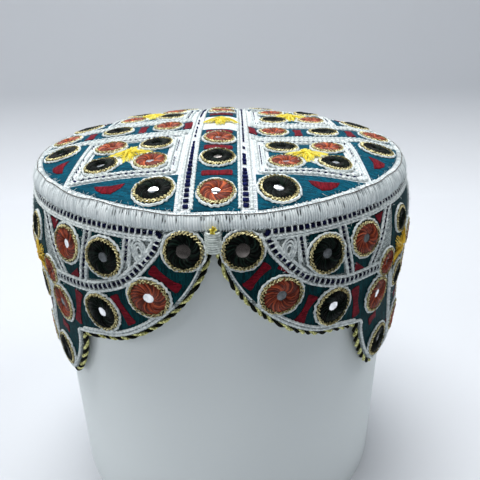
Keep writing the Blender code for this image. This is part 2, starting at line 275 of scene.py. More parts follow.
# Crown cloth: a round of quilted white cotton, stretched over the stand with a stiff ridge
# from front to back and a slacker field on each side. All of its upper face is worked with
# rows of white thread.
RIM_HEIGHT = 0.1713
CROWN_RADIUS = 0.0836
CROWN_WALL = 0.0024
CROWN_RISE = 0.0118
RIGHT_SAG = 0.0060
LEFT_SAG = 0.0021
SAG_REACH = 0.80
RIDGE_HALF_WIDTH = 0.0130
RIDGE_POWER = 3
CROWN_SIDES = 168
CROWN_RINGS = 40
PUCKER = 0.00035
PUCKER_SPACING = 0.016
FRONT_DIP = 0.0015
DIP_FULL_ANGLE = math.radians(10)
DIP_END_ANGLE = math.radians(36)
DIP_POWER = 6
WHITES = ((0.83, 0.89, 0.91), (0.91, 0.96, 0.97))
# Painted shade in the gaps between the stitches.
WHITE_GAP_PAINTED_SHADE = (0.56, 0.59, 0.63)
CLOTH_STITCH = (2.4, 1.10)
STITCH_WAVER = (0.6, 3.0)
STITCH_WANDER = 0.9
STITCH_GAP_SHARE = 0.14
STITCH_DEPTH = 0.0004
WEAR_CLOUD = (0.9, 6.0)
WEAR_SHADES = ((0.60, 0.63, 0.67), (1.0, 1.0, 1.0))
WEAR_STRENGTH = 0.6


def pucker(point):
    """Small rise or fall of the cloth, drawn in by its stitches."""
    return PUCKER * noise.noise(point / PUCKER_SPACING)


def drawn_down(x, y):
    """How far the edge is drawn down over the forehead, from 1 at the front to 0."""
    angle = abs(math.atan2(x, -y))
    share = min(1.0, max(0.0, (DIP_END_ANGLE - angle) / (DIP_END_ANGLE - DIP_FULL_ANGLE)))
    return share ** 2 * (3 - 2 * share)


def on_crown(x, y, lift):
    """Where a point of the flat work comes to lie on the crown."""
    share = math.hypot(x, y) / CROWN_RADIUS
    sag = RIGHT_SAG if x > 0 else LEFT_SAG
    beside_ridge = 1 - math.exp(-abs(x / RIDGE_HALF_WIDTH) ** RIDGE_POWER)
    inside = max(0.0, 1 - (share / SAG_REACH) ** 2)
    dip = FRONT_DIP * drawn_down(x, y) * share ** DIP_POWER
    height = CROWN_RISE * (1 - share ** 2) - sag * beside_ridge * inside - dip
    return Vector((x, y, RIM_HEIGHT + height + lift + pucker(Vector((x, y, 0.0)))))


def lay(piece, place):
    """Keep the flat pattern as a UV map in millimetres, then lay the work on the cap."""
    mesh = piece.data
    flat = np.empty(len(mesh.vertices) * 3)
    mesh.vertices.foreach_get("co", flat)
    flat = flat.reshape(-1, 3)
    corners = np.empty(len(mesh.loops), dtype=np.int32)
    mesh.loops.foreach_get("vertex_index", corners)
    while mesh.uv_layers:
        mesh.uv_layers.remove(mesh.uv_layers[0])
    chart = mesh.uv_layers.new(name="flat_work")
    chart.data.foreach_set("uv", (flat[corners, :2] * 1000).astype(np.float32).ravel())
    laid = np.array([place(*point) for point in flat.tolist()], dtype=np.float32)
    mesh.vertices.foreach_set("co", laid.ravel())
    mesh.update()
    return piece


def sew(piece, cloth, name, look, slot, *nodes):
    """Lay flat work on the cap, where a function of the crown, roll or band takes it."""
    return fasten(lay(piece, cloth), name, look, slot, *nodes)


def stitched_look(name, colours, gap, stitch_size, turned, roughness, relief):
    """Close rows of stitches that follow the flat work, each stitch with its own tone, and painted shade
    in the gaps between them.
    """
    look, nodes, links, shader = new_look(name, roughness)
    chart = nodes.new("ShaderNodeUVMap")
    chart.uv_map = "flat_work"
    waver = cloudy(nodes, links, chart.outputs["UV"], *STITCH_WAVER)
    wander = nodes.new("ShaderNodeVectorMath")
    wander.operation = "MULTIPLY_ADD"
    wander.inputs[1].default_value = (STITCH_WANDER, STITCH_WANDER, 0.0)
    links.new(waver.outputs["Color"], wander.inputs[0])
    links.new(chart.outputs["UV"], wander.inputs[2])
    lie = nodes.new("ShaderNodeMapping")
    lie.inputs["Rotation"].default_value = (0.0, 0.0, turned)
    links.new(wander.outputs["Vector"], lie.inputs["Vector"])
    rows = nodes.new("ShaderNodeTexBrick")
    length, height = stitch_size
    # The mortar colour is painted shade in the grooves between the stitches.
    settings = {
        "Color1": (*colours[0], 1.0), "Color2": (*colours[1], 1.0), "Mortar": (*gap, 1.0),
        "Mortar Size": STITCH_GAP_SHARE * height, "Mortar Smooth": 1.0,
        "Brick Width": length, "Row Height": height, "Scale": 1.0,
    }
    for socket, value in settings.items():
        rows.inputs[socket].default_value = value
    links.new(lie.outputs["Vector"], rows.inputs["Vector"])
    worn = nodes.new("ShaderNodeMix")
    worn.data_type = "RGBA"
    worn.blend_type = "MULTIPLY"
    worn.inputs["Factor"].default_value = WEAR_STRENGTH
    links.new(rows.outputs["Color"], worn.inputs["A"])
    wear = mottle(nodes, links, chart.outputs["UV"], WEAR_CLOUD, WEAR_SHADES)
    links.new(wear, worn.inputs["B"])
    links.new(worn.outputs["Result"], shader.inputs["Base Color"])
    pillow = nodes.new("ShaderNodeMath")
    pillow.operation = "SUBTRACT"
    pillow.inputs[0].default_value = 1.0
    links.new(rows.outputs["Fac"], pillow.inputs[1])
    raise_grain(nodes, links, pillow.outputs["Value"], shader, relief, STITCH_DEPTH)
    return look


bpy.ops.object.select_all(action="DESELECT")
bpy.ops.mesh.primitive_circle_add(vertices=CROWN_SIDES, radius=CROWN_RADIUS, fill_type="NGON")
crown = only(bpy.context.object)
bpy.ops.object.mode_set(mode="EDIT")
for ring in range(CROWN_RINGS - 1):
    bpy.ops.mesh.inset(thickness=CROWN_RADIUS / CROWN_RINGS, use_boundary=True)
bpy.ops.mesh.poke()
bpy.ops.object.mode_set(mode="OBJECT")
modify("SOLIDIFY", thickness=CROWN_WALL, offset=-1.0)
white_cloth = stitched_look(
    "white_worked_cotton", WHITES, WHITE_GAP_PAINTED_SHADE, CLOTH_STITCH, turned=0.0, roughness=0.85, relief=0.8
)
sew(crown, on_crown, "crown_cloth", white_cloth, "white_thread", "crown")


# Teal fields of the crown: flat silk in close rows, filling the cross, the corners between
# the squares and the rim, and four small triangles in each square.
FIELD_HEIGHT = 0.00040
FIELD_GRID = 0.0030
FIELD_EDGE = 0.00018
FIELD_EDGE_ANGLE = math.radians(60)
ARM_HALF = 0.0088
ARM_START = 0.0145
ARM_END = 0.0829
SQUARE_CENTRE = 0.0375
SQUARE_HALF = 0.0218
RIM_FIELD_GAP = 0.0012
RIM_FIELD_RADIUS = 0.0835
RIM_FIELD_START = 0.0148
RIM_FIELD_STEPS = 12
TRIANGLE_BASE_HALF = 0.0098
TRIANGLE_FOOT = 0.0162
TRIANGLE_HEIGHT = 0.0088
TRIANGLE_WAIST = 0.0016
TEALS = ((0.0005, 0.050, 0.085), (0.001, 0.118, 0.192))
# Painted shade in the gaps between the stitches.
TEAL_GAP_PAINTED_SHADE = (0.001, 0.012, 0.020)
TEAL_STITCH = (3.2, 0.55)


def add_piece(data):
    """A new piece with this mesh or these curves, not yet named."""
    piece = bpy.data.objects.new("work", data)
    bpy.context.scene.collection.objects.link(piece)
    return only(piece)


def cut_patches(outlines, height):
    """Flat patches from their outlines, cut by a grid so that they can follow the cap."""
    corners = []
    faces = []
    for outline in outlines:
        area = sum(a[0] * b[1] - b[0] * a[1] for a, b in zip(outline, outline[1:] + outline[:1]))
        faces.append(list(range(len(corners), len(corners) + len(outline))))
        corners += [(x, y, 0.0) for x, y in (outline if area > 0 else reversed(outline))]
    mesh = bpy.data.meshes.new("patches")
    mesh.from_pydata(corners, [], faces)
    patches = add_piece(mesh)
    bpy.ops.object.mode_set(mode="EDIT")
    bpy.ops.mesh.select_all(action="SELECT")
    bpy.ops.mesh.quads_convert_to_tris()
    flat = np.array(corners)
    for axis in (0, 1):
        low, high = flat[:, axis].min(), flat[:, axis].max()
        normal = (1, 0, 0) if axis == 0 else (0, 1, 0)
        for step in range(1, int((high - low) / FIELD_GRID) + 1):
            spot = [0.0, 0.0, 0.0]
            spot[axis] = low + step * FIELD_GRID
            bpy.ops.mesh.select_all(action="SELECT")
            bpy.ops.mesh.bisect(plane_co=spot, plane_no=normal)
    bpy.ops.object.mode_set(mode="OBJECT")
    modify("SOLIDIFY", thickness=height, offset=1.0)
    modify("BEVEL", width=FIELD_EDGE, limit_method="ANGLE", angle_limit=FIELD_EDGE_ANGLE)
    return patches


def quarter_turns(outline):
    """The same outline in each quarter of the crown, turned about its centre."""
    made = []
    for cosine, sine in ((1, 0), (0, 1), (-1, 0), (0, -1)):
        made.append([(x * cosine - y * sine, x * sine + y * cosine) for x, y in outline])
    return made


def mirrored(outline):
    """An outline on the other side of the front-to-back line, running the same way round."""
    return [(-x, y) for x, y in reversed(outline)]


arm_field = [
    (-ARM_HALF, ARM_START), (ARM_HALF, ARM_START), (ARM_HALF, ARM_END), (-ARM_HALF, ARM_END),
]
square_edge = SQUARE_CENTRE + SQUARE_HALF + RIM_FIELD_GAP
field_end = math.sqrt(RIM_FIELD_RADIUS ** 2 - square_edge ** 2)
start_turn = math.asin(RIM_FIELD_START / RIM_FIELD_RADIUS)
end_turn = math.asin(field_end / RIM_FIELD_RADIUS)
rim_field = [(RIM_FIELD_START, square_edge)]
for step in range(RIM_FIELD_STEPS + 1):
    turn = end_turn + (start_turn - end_turn) * step / RIM_FIELD_STEPS
    rim_field.append((RIM_FIELD_RADIUS * math.sin(turn), RIM_FIELD_RADIUS * math.cos(turn)))
waist_height = TRIANGLE_FOOT - TRIANGLE_HEIGHT / 2 + TRIANGLE_WAIST
side_triangle = [
    (-TRIANGLE_BASE_HALF, TRIANGLE_FOOT),
    (-TRIANGLE_BASE_HALF / 2, waist_height),
    (0.0, TRIANGLE_FOOT - TRIANGLE_HEIGHT),
    (TRIANGLE_BASE_HALF / 2, waist_height),
    (TRIANGLE_BASE_HALF, TRIANGLE_FOOT),
]
square_sides = (-SQUARE_CENTRE, SQUARE_CENTRE)
square_corners = [(x, y) for x in square_sides for y in square_sides]
crown_teal = quarter_turns(arm_field) + quarter_turns(rim_field) + quarter_turns(mirrored(rim_field))
for centre_x, centre_y in square_corners:
    for triangle in quarter_turns(side_triangle):
        crown_teal.append([(centre_x + x, centre_y + y) for x, y in triangle])
teal_silk = stitched_look(
    "teal_silk", TEALS, TEAL_GAP_PAINTED_SHADE, TEAL_STITCH, turned=0.35, roughness=0.6, relief=0.6
)
crown_fields = cut_patches(crown_teal, FIELD_HEIGHT)
sew(crown_fields, on_crown, "crown_teal_fields", teal_silk, "crown_cloth")


# Crimson figures of the crown: bars in satin stitch between the medallions of the cross,
# and a kite in each corner field, all worked over the teal.
FIGURE_HEIGHT = 0.00065
REDS = ((0.12, 0.004, 0.011), (0.28, 0.010, 0.024))
# Painted shade in the gaps between the stitches.
RED_GAP_PAINTED_SHADE = (0.03, 0.001, 0.003)
RED_STITCH = (2.6, 0.45)
COLUMN_BARS = (0.0185, 0.0384, 0.0608)
CROSSBAR_BARS = (0.0155, 0.0377, 0.0632)
BAR_LENGTH_HALF = 0.0060
BAR_END_HALF = 0.0022
BAR_WAIST_HALF = 0.0016
BONE_UNEVEN = 0.35
BONE_SHARES = (0.0, 0.04, 0.12, 0.25, 0.5, 0.75, 0.88, 0.96, 1.0)
BONE_FLARE = 2.2
BONE_ROUND = 0.42
BONE_ROUND_POWER = 24
BONE_NOISE = (900, 3, 5.0)
KITE = (
    (0.0345, 0.0645), (0.0400, 0.0652), (0.0466, 0.0640), (0.0452, 0.0668),
    (0.0424, 0.0694), (0.0390, 0.0704), (0.0358, 0.0674),
)


def bone(start, end, end_half, waist_half):
    """Outline of a bar of stitches, broader at its ends than at its waist and uneven."""
    start = Vector(start)
    end = Vector(end)
    side = (end - start).normalized()
    side = Vector((-side.y, side.x))
    place, along_bone, side_step = BONE_NOISE
    outline = []
    for sign, shares in ((1, BONE_SHARES), (-1, BONE_SHARES[::-1])):
        for share in shares:
            end_share = abs(2 * share - 1)
            half = waist_half + (end_half - waist_half) * end_share ** BONE_FLARE
            half *= 1 - BONE_ROUND * end_share ** BONE_ROUND_POWER
            grain = (place * start.x + along_bone * share, place * start.y, side_step * sign)
            half *= 1 + BONE_UNEVEN * noise.noise(Vector(grain))
            spot = start + (end - start) * share + side * half * sign
            outline.append((spot.x, spot.y))
    return outline


crown_red = []
for sign in (-1, 1):
    for reach in COLUMN_BARS:
        ends = ((-BAR_LENGTH_HALF, sign * reach), (BAR_LENGTH_HALF, sign * reach))
        crown_red.append(bone(*ends, BAR_END_HALF, BAR_WAIST_HALF))
    for reach in CROSSBAR_BARS:
        ends = ((sign * reach, -BAR_LENGTH_HALF), (sign * reach, BAR_LENGTH_HALF))
        crown_red.append(bone(*ends, BAR_END_HALF, BAR_WAIST_HALF))
crown_red += quarter_turns(KITE) + quarter_turns(mirrored(KITE))
red_silk = stitched_look(
    "crimson_satin_stitch", REDS, RED_GAP_PAINTED_SHADE, RED_STITCH, turned=math.pi / 2, roughness=0.5, relief=0.7
)
crown_figures = cut_patches(crown_red, FIGURE_HEIGHT)
sew(crown_figures, on_crown, "crown_crimson_figures", red_silk, "red_thread")


# White cords of the crown: thick two-ply cotton, couched down along the cross and round
# each square.
CORD = (0.00078, 0.00050, 0.0042, 0.00042)  # half width, half height, length of a twist, lift
CORD_STEP = 0.00060
CORD_CLOUD = (700.0, 4.0)
CORD_FIBRES = (2200.0, 3.0)
CORD_FIBRE_DEPTH = 0.0002
CURVE_STEPS = 12
CORNER_STEPS = 4
SAME_POINT = 0.000001
NEAR_POINT = 0.00001
UNTWISTED = 1.0  # a twist in a metre, so hardly any in a thread
LADDER_X = 0.0107
LADDER_HALF = 0.0021
CROSSBAR_CORDS = (0.0098, 0.0128, 0.0146)
ARM_CORD_END = 0.0820
SQUARE_CORDS = (0.0213, 0.0183)
SQUARE_ROUND = 0.0026
CORD_WHITES = ((0.52, 0.58, 0.59), (0.88, 0.94, 0.93))


def along_curve(points, spacing):
    """Even steps along a smooth curve through the given points."""
    spots = [Vector((*point[:2], 0.0)) for point in points]
    spots = [2 * spots[0] - spots[1]] + spots + [2 * spots[-1] - spots[-2]]
    dense = []
    for before, start, end, after in zip(spots, spots[1:], spots[2:], spots[3:]):
        for part in range(CURVE_STEPS):
            t = part / CURVE_STEPS
            dense.append(0.5 * (
                2 * start + (end - before) * t
                + (2 * before - 5 * start + 4 * end - after) * t ** 2
                + (3 * start - before - 3 * end + after) * t ** 3
            ))
    dense.append(spots[-2])
    dense = np.array([tuple(spot) for spot in dense])
    run = np.concatenate(([0.0], np.cumsum(np.linalg.norm(np.diff(dense, axis=0), axis=1))))
    count = max(2, round(run[-1] / spacing) + 1)
    even = np.linspace(0.0, run[-1], count)
    across = np.interp(even, run, dense[:, 0])
    up = np.interp(even, run, dense[:, 1])
    return list(zip(across.tolist(), up.tolist()))


def beside(path, distance):
    """The same line moved sideways, to the left of its run."""
    moved = []
    for index, spot in enumerate(path):
        before = path[max(index - 1, 0)]
        after = path[min(index + 1, len(path) - 1)]
        run = Vector((after[0] - before[0], after[1] - before[1])).normalized()
        moved.append((spot[0] - run.y * distance, spot[1] + run.x * distance))
    return moved


def set_shades(mesh, values):
    """Give each point of a mesh a value from 0 to 1: the tone of the thread that it is on, or painted
    shade where it lies between threads.
    """
    shades = mesh.attributes.new("tone_and_painted_shade", "FLOAT", "POINT")
    shades.data.foreach_set("value", np.asarray(values, dtype=np.float32))


def merge_points(gap, outward=False):
    """Join points of the active piece that lie within a gap, and turn its faces out if asked."""
    bpy.ops.object.mode_set(mode="EDIT")
    bpy.ops.mesh.select_all(action="SELECT")
    bpy.ops.mesh.remove_doubles(threshold=gap)
    if outward:
        bpy.ops.mesh.normals_make_consistent(inside=False)
    bpy.ops.object.mode_set(mode="OBJECT")


def couch(paths, size, closed=False, shades=None, sides=6):
    """Two-ply cords along flat paths, each an oval section that turns as it runs."""
    half_width, half_height, twist, lift = size
    section_curves = bpy.data.curves.new("cord_section", "CURVE")
    section_curves.dimensions = "2D"
    section = section_curves.splines.new("POLY")
    section.points.add(sides - 1)
    section.use_cyclic_u = True
    for index, point in enumerate(section.points):
        turn = 2 * math.pi * index / sides
        point.co = (half_width * math.cos(turn), half_height * math.sin(turn), 0.0, 1.0)
    profile = add_piece(section_curves)
    curves = bpy.data.curves.new("cords", "CURVE")
    curves.dimensions = "3D"
    curves.twist_mode = "Z_UP"
    curves.bevel_mode = "OBJECT"
    curves.bevel_object = profile
    curves.use_fill_caps = not closed
    for path in paths:
        strand = curves.splines.new("POLY")
        strand.points.add(len(path) - 1)
        strand.use_cyclic_u = closed
        length = sum(math.dist(a[:2], b[:2]) for a, b in zip(path, path[1:]))
        step = length / (len(path) - 1)
        turns = step / twist
        if closed:
            turns = round(turns * len(path)) / len(path)
        for index, (point, spot) in enumerate(zip(strand.points, path)):
            height = spot[2] if len(spot) > 2 else lift
            point.co = (spot[0], spot[1], height, 1.0)
            point.tilt = 2 * math.pi * turns * index
    add_piece(curves)
    bpy.ops.object.convert(target="MESH")
    bpy.data.objects.remove(profile)
    cords = bpy.context.object
    if shades:
        caps = [shade for shade in reversed(shades) for corner in range(2 * sides)]
        walls = [s for s, path in zip(shades, paths) for corner in range(len(path) * sides)]
        set_shades(cords.data, caps + walls)
    merge_points(SAME_POINT)
    return cords


def round_thread(half, lift=0.0):
    """The size that couch needs for a thread which is round and isn't twisted."""
    return half, half, UNTWISTED, lift


def cord_look(name, colours, roughness, relief):
    """Spun thread: soft, with fine fibres that catch the light."""
    fibres = (*CORD_FIBRES, relief, CORD_FIBRE_DEPTH)
    return mottled_look(name, colours, CORD_CLOUD, fibres, roughness=roughness)


def rounded_square(centre, half, corner, spacing):
    """Even steps round a square with rounded corners."""
    outline = []
    for quarter in range(4):
        turn = math.pi / 2 * quarter + math.pi / 4
        middle_x = centre[0] + math.copysign(half - corner, math.cos(turn))
        middle_y = centre[1] + math.copysign(half - corner, math.sin(turn))
        for step in range(CORNER_STEPS + 1):
            angle = math.pi / 2 * (quarter + step / CORNER_STEPS)
            spot = (middle_x + corner * math.cos(angle), middle_y + corner * math.sin(angle))
            outline.append(spot)
    outline.append(outline[0])
    even = []
    for start, end in zip(outline, outline[1:]):
        count = max(1, round(math.dist(start, end) / spacing))
        for part in range(count):
            share = part / count
            spot = (start[0] + (end[0] - start[0]) * share, start[1] + (end[1] - start[1]) * share)
            even.append(spot)
    return even


def straight(start, end, spacing):
    """Even steps along a straight line."""
    count = max(2, round(math.dist(start, end) / spacing) + 1)
    return [tuple(Vector(start).lerp(Vector(end), index / (count - 1))) for index in range(count)]


def column_line(x):
    """A line from front to back beside the medallions of the long arm."""
    return straight((x, -ARM_CORD_END), (x, ARM_CORD_END), CORD_STEP)


crown_lines = []
for x in (LADDER_X - LADDER_HALF, LADDER_X + LADDER_HALF):
    for side in (-1, 1):
        crown_lines.append(column_line(side * x))
for y in CROSSBAR_CORDS:
    for side in (-1, 1):
        for end in (-1, 1):
            ends = ((side * ARM_START, end * y), (side * ARM_CORD_END, end * y))
            crown_lines.append(straight(*ends, CORD_STEP))
crown_loops = []
for centre in square_corners:
    for half in SQUARE_CORDS:
        crown_loops.append(rounded_square(centre, half, SQUARE_ROUND, CORD_STEP))
white_cotton = cord_look("white_cotton_cord", CORD_WHITES, roughness=0.80, relief=0.8)
sew(couch(crown_lines, CORD), on_crown, "crown_cross_cords", white_cotton, "white_thread")
crown_squares = couch(crown_loops, CORD, closed=True)
sew(crown_squares, on_crown, "crown_square_cords", white_cotton, "white_thread")


# Navy stitches of the crown: short padded dashes of indigo thread between the two cords of
# each ladder, and a finer line of them round each square. Away from the front they are
# worn, and some are gone.
NAVIES = ((0.003, 0.004, 0.022), (0.010, 0.016, 0.105))
COLUMN_DASH = (0.00145, 0.0021, 0.00090)
COLUMN_DASH_PITCH = 0.0029
SQUARE_DASH = (0.0013, 0.0007, 0.00080)
SQUARE_DASH_PITCH = 0.0029
SQUARE_DASH_HALF = 0.0198
DASH_LIFT = 0.00055
SQUARE_DASH_LIFT = 0.00050
STITCH_ROUND = 0.28
STITCH_SHIFT = 0.06
STITCH_SWAY = 0.12
STITCH_AHEAD = 0.0004
STITCH_LENGTHS = (0.85, 1.10)
STITCH_WIDTHS = (0.85, 1.12)
WEAR_START = -0.060
WEAR_REACH = 0.035
WEAR_LOSS = 0.35
WEAR_THINNING = (0.3, 0.6)
WORN_DASH = (0.7, 0.6, 1.0, 1.0)


def stitch(size):
    """One padded stitch, a low block with well rounded edges, longest along X."""
    bpy.ops.object.select_all(action="DESELECT")
    bpy.ops.mesh.primitive_cube_add(size=1.0)
    made = only(bpy.context.object)
    made.scale = size
    bpy.ops.object.transform_apply(location=True, rotation=True, scale=True)
    bpy.ops.object.mode_set(mode="EDIT")
    bpy.ops.mesh.select_all(action="SELECT")
    bpy.ops.mesh.bevel(offset=STITCH_ROUND * min(size), segments=1, affect="EDGES")
    bpy.ops.object.mode_set(mode="OBJECT")
    return made


def copies(model, places):
    """One mesh with a copy of the model at each place, a 4x4 matrix. The model goes."""
    count = len(model.data.vertices)
    shades = None
    if "tone_and_painted_shade" in model.data.attributes:
        shades = np.empty(count, dtype=np.float32)
        model.data.attributes["tone_and_painted_shade"].data.foreach_get("value", shades)
    shape = np.empty(count * 3)
    model.data.vertices.foreach_get("co", shape)
    shape = shape.reshape(-1, 3)
    faces = [tuple(face.vertices) for face in model.data.polygons]
    corners = []
    joined = []
    for index, place in enumerate(places):
        matrix = np.array(place)
        corners.append(shape @ matrix[:3, :3].T + matrix[:3, 3])
        joined += [[corner + index * count for corner in face] for face in faces]
    mesh = bpy.data.meshes.new("copies")
    mesh.from_pydata(np.concatenate(corners).tolist(), [], joined)
    if shades is not None:
        set_shades(mesh, np.tile(shades, len(corners)))
    bpy.data.objects.remove(model)
    return add_piece(mesh)


def along(path, pitch, lift, rng):
    """A place for a stitch at each pitch along a path, turned to run with it."""
    run = [0.0]
    for start, end in zip(path, path[1:]):
        run.append(run[-1] + math.dist(start[:2], end[:2]))
    x_run = [point[0] for point in path]
    y_run = [point[1] for point in path]
    places = []
    for index in range(int(run[-1] / pitch)):
        spot = (index + 0.5) * pitch + rng.uniform(-STITCH_SHIFT, STITCH_SHIFT) * pitch
        ahead = spot + STITCH_AHEAD
        x, y = np.interp(spot, run, x_run), np.interp(spot, run, y_run)
        turn = math.atan2(np.interp(ahead, run, y_run) - y, np.interp(ahead, run, x_run) - x)
        turn += rng.uniform(-STITCH_SWAY, STITCH_SWAY)
        grow = Matrix.Diagonal((rng.uniform(*STITCH_LENGTHS), rng.uniform(*STITCH_WIDTHS), 1.0, 1.0))
        places.append(Matrix.Translation((x, y, lift)) @ Matrix.Rotation(turn, 4, "Z") @ grow)
    return places


rng = random.Random(11)
column_places = []
for side in (-1, 1):
    for place in along(column_line(side * LADDER_X), COLUMN_DASH_PITCH, DASH_LIFT, rng):
        worn = min(1.0, max(0.0, (place.translation.y - WEAR_START) / WEAR_REACH))
        if rng.random() > WEAR_LOSS * worn:
            length, width = (1 - thinning * worn for thinning in WEAR_THINNING)
            column_places.append(place @ Matrix.Diagonal((length, width, 1.0, 1.0)))
square_places = []
for centre in square_corners:
    loop = rounded_square(centre, SQUARE_DASH_HALF, SQUARE_ROUND, CORD_STEP)
    for place in along(loop, SQUARE_DASH_PITCH, SQUARE_DASH_LIFT, rng):
        on_side = abs(place.translation.x - centre[0]) > abs(place.translation.y - centre[1])
        if not on_side:
            square_places.append(place)
        elif rng.random() > WEAR_LOSS:
            square_places.append(place @ Matrix.Diagonal(WORN_DASH))
navy_cotton = cord_look("navy_cotton", NAVIES, roughness=0.60, relief=0.5)
column_dashes = copies(stitch(COLUMN_DASH), column_places)
sew(column_dashes, on_crown, "column_navy_stitches", navy_cotton, "navy_thread")
square_dashes = copies(stitch(SQUARE_DASH), square_places)
sew(square_dashes, on_crown, "square_navy_stitches", navy_cotton, "navy_thread")


# Mirror medallions of the crown: a small round mirror held under a wheel of thick silk
# that swirls round it, edged by a twisted gold thread and a white cord. The wheels are
# blackish green or rust orange, in turn.
MODEL_RADIUS = 0.0085
WHEEL_SIDES = 36
WHEEL_SWIRL = 0.80
WHEEL_THREADS = 54
WHEEL_THREAD_HALF = (0.00030, 0.00018)
WHEEL_THREAD_SHIFT = 0.4
WHEEL_THREAD_SWIRLS = (0.6, 1.35)
WHEEL_THREAD_RISE = (-0.00004, 0.00016)
WHEEL_THREAD_SWAY = 0.00010
WHEEL_EYE_WANDER = 0.00060
WHEEL_EYE_WAVES = 500
# Values for painted shade: the wheel's body between the threads, and its eye round the mirror darker
# still.
WHEEL_EYE_PAINTED_SHADE = 0.05
WHEEL_BED_PAINTED_SHADE = 0.22
WHEEL_PROFILE = (
    # reach from the centre, height
    (0.00660, 0.00000),
    (0.00655, 0.00065),
    (0.00590, 0.00115),
    (0.00460, 0.00150),
    (0.00320, 0.00138),
    (0.00215, 0.00080),
    (0.00190, 0.00030),
)
WHEEL_THROAT = 0.0024
GOLD_RING_RADIUS = 0.00695
GOLD_STRAND_HALF = 0.00032
GOLD_STRAND_SIDES = 3
GOLD_STRAND_SWAY = 0.00052
GOLD_STRAND_RISE = 0.7
GOLD_RING_TWISTS = 15
GOLD_RING_SLIP = 1.6
GOLD_RING_WAVES = 2.5
GOLD_RING_STEPS = 96
WHITE_RING_RADIUS = 0.00798
WHITE_RING_HALF = 0.00050
WHITE_RING_WOBBLE = 0.00028
WHITE_RING_STEPS = 60
WHITE_RING_SIDES = 5
WHITE_RING_HEIGHT = 0.00055
GOLD_RING_HEIGHT = 0.00105
MIRROR_RADIUS = 0.00235
MIRROR_HEIGHT = 0.00062
MIRROR_DOME = 0.00010
MIRROR_SIDES = 20
MIRROR_RIM = 0.45
MIRROR_SWAY = 0.07
MIRROR_TIP = 1.2
MEDALLION_SQUEEZE = (0.96, 1.03)
CROWN_LIFT = 0.0003
ARM_MEDALLION_RADIUS = 0.0078
SQUARE_MEDALLION_RADIUS = 0.0079
SQUARE_MEDALLION_OFFSET = 0.0101
RIM_MEDALLION_RADIUS = 0.0086
RIM_MEDALLION_REACH = 0.0746
RIM_MEDALLION_ANGLE = math.radians(18)
COLUMN_MEDALLIONS = {"inner": 0.0285, "middle": 0.0490, "outer": 0.0738}
CROSSBAR_MEDALLIONS = {"inner": 0.0255, "middle": 0.0500, "outer": 0.0752}
# The first colour of each laid silk is painted shade, for the gaps between its threads; the other two are
# its own tones.
DARK_THREADS = ((0.0002, 0.0004, 0.0003), (0.0008, 0.0020, 0.0014), (0.009, 0.023, 0.016))
ORANGE_THREADS = ((0.030, 0.004, 0.002), (0.22, 0.032, 0.012), (0.70, 0.160, 0.055))
# Darkened mirror glass: partly the tarnish of old mirrors, partly painted shade for mirrors that catch no
# bright reflection.
TARNISHED_AND_SHADED_GLASS = ((0.12, 0.11, 0.10), (0.34, 0.30, 0.28))
SILVERED_GLASS = ((0.62, 0.64, 0.66), (0.94, 0.95, 0.96))
SILVERED_CLOUD = (500.0, 2.0)
SILVERED_RIPPLE = (320.0, 2.0, 0.30, 0.0003)
TARNISHED_AND_SHADED_CLOUD = (260.0, 3.0)
# The dark and pale golds drift in small spots: painted glints, and painted shade in the gaps of the foil.
GOLDS = ((0.12, 0.08, 0.01), (1.00, 0.92, 0.52))
FOIL_METAL = 0.40
FOIL_GLINT_AND_SHADE_CLOUD = (1400.0, 2.0)
FOIL_CREASES = 1500.0
FOIL_CREASE_DEPTH = (0.8, 0.0003)
LAID_MIDDLE = 0.45
LAID_FIBRES = (2600.0, 2.0)
LAID_FIBRE_DEPTH = (0.35, 0.0002)
SHADE_LEAST = 0.18
SHADE_SPREAD = 0.72
SHADE_POWER = 1.2


def thread_tones(threads, rng):
    """A shade for each thread, most of them middling and a few bright."""
    return [SHADE_LEAST + SHADE_SPREAD * rng.random() ** SHADE_POWER for thread in threads]


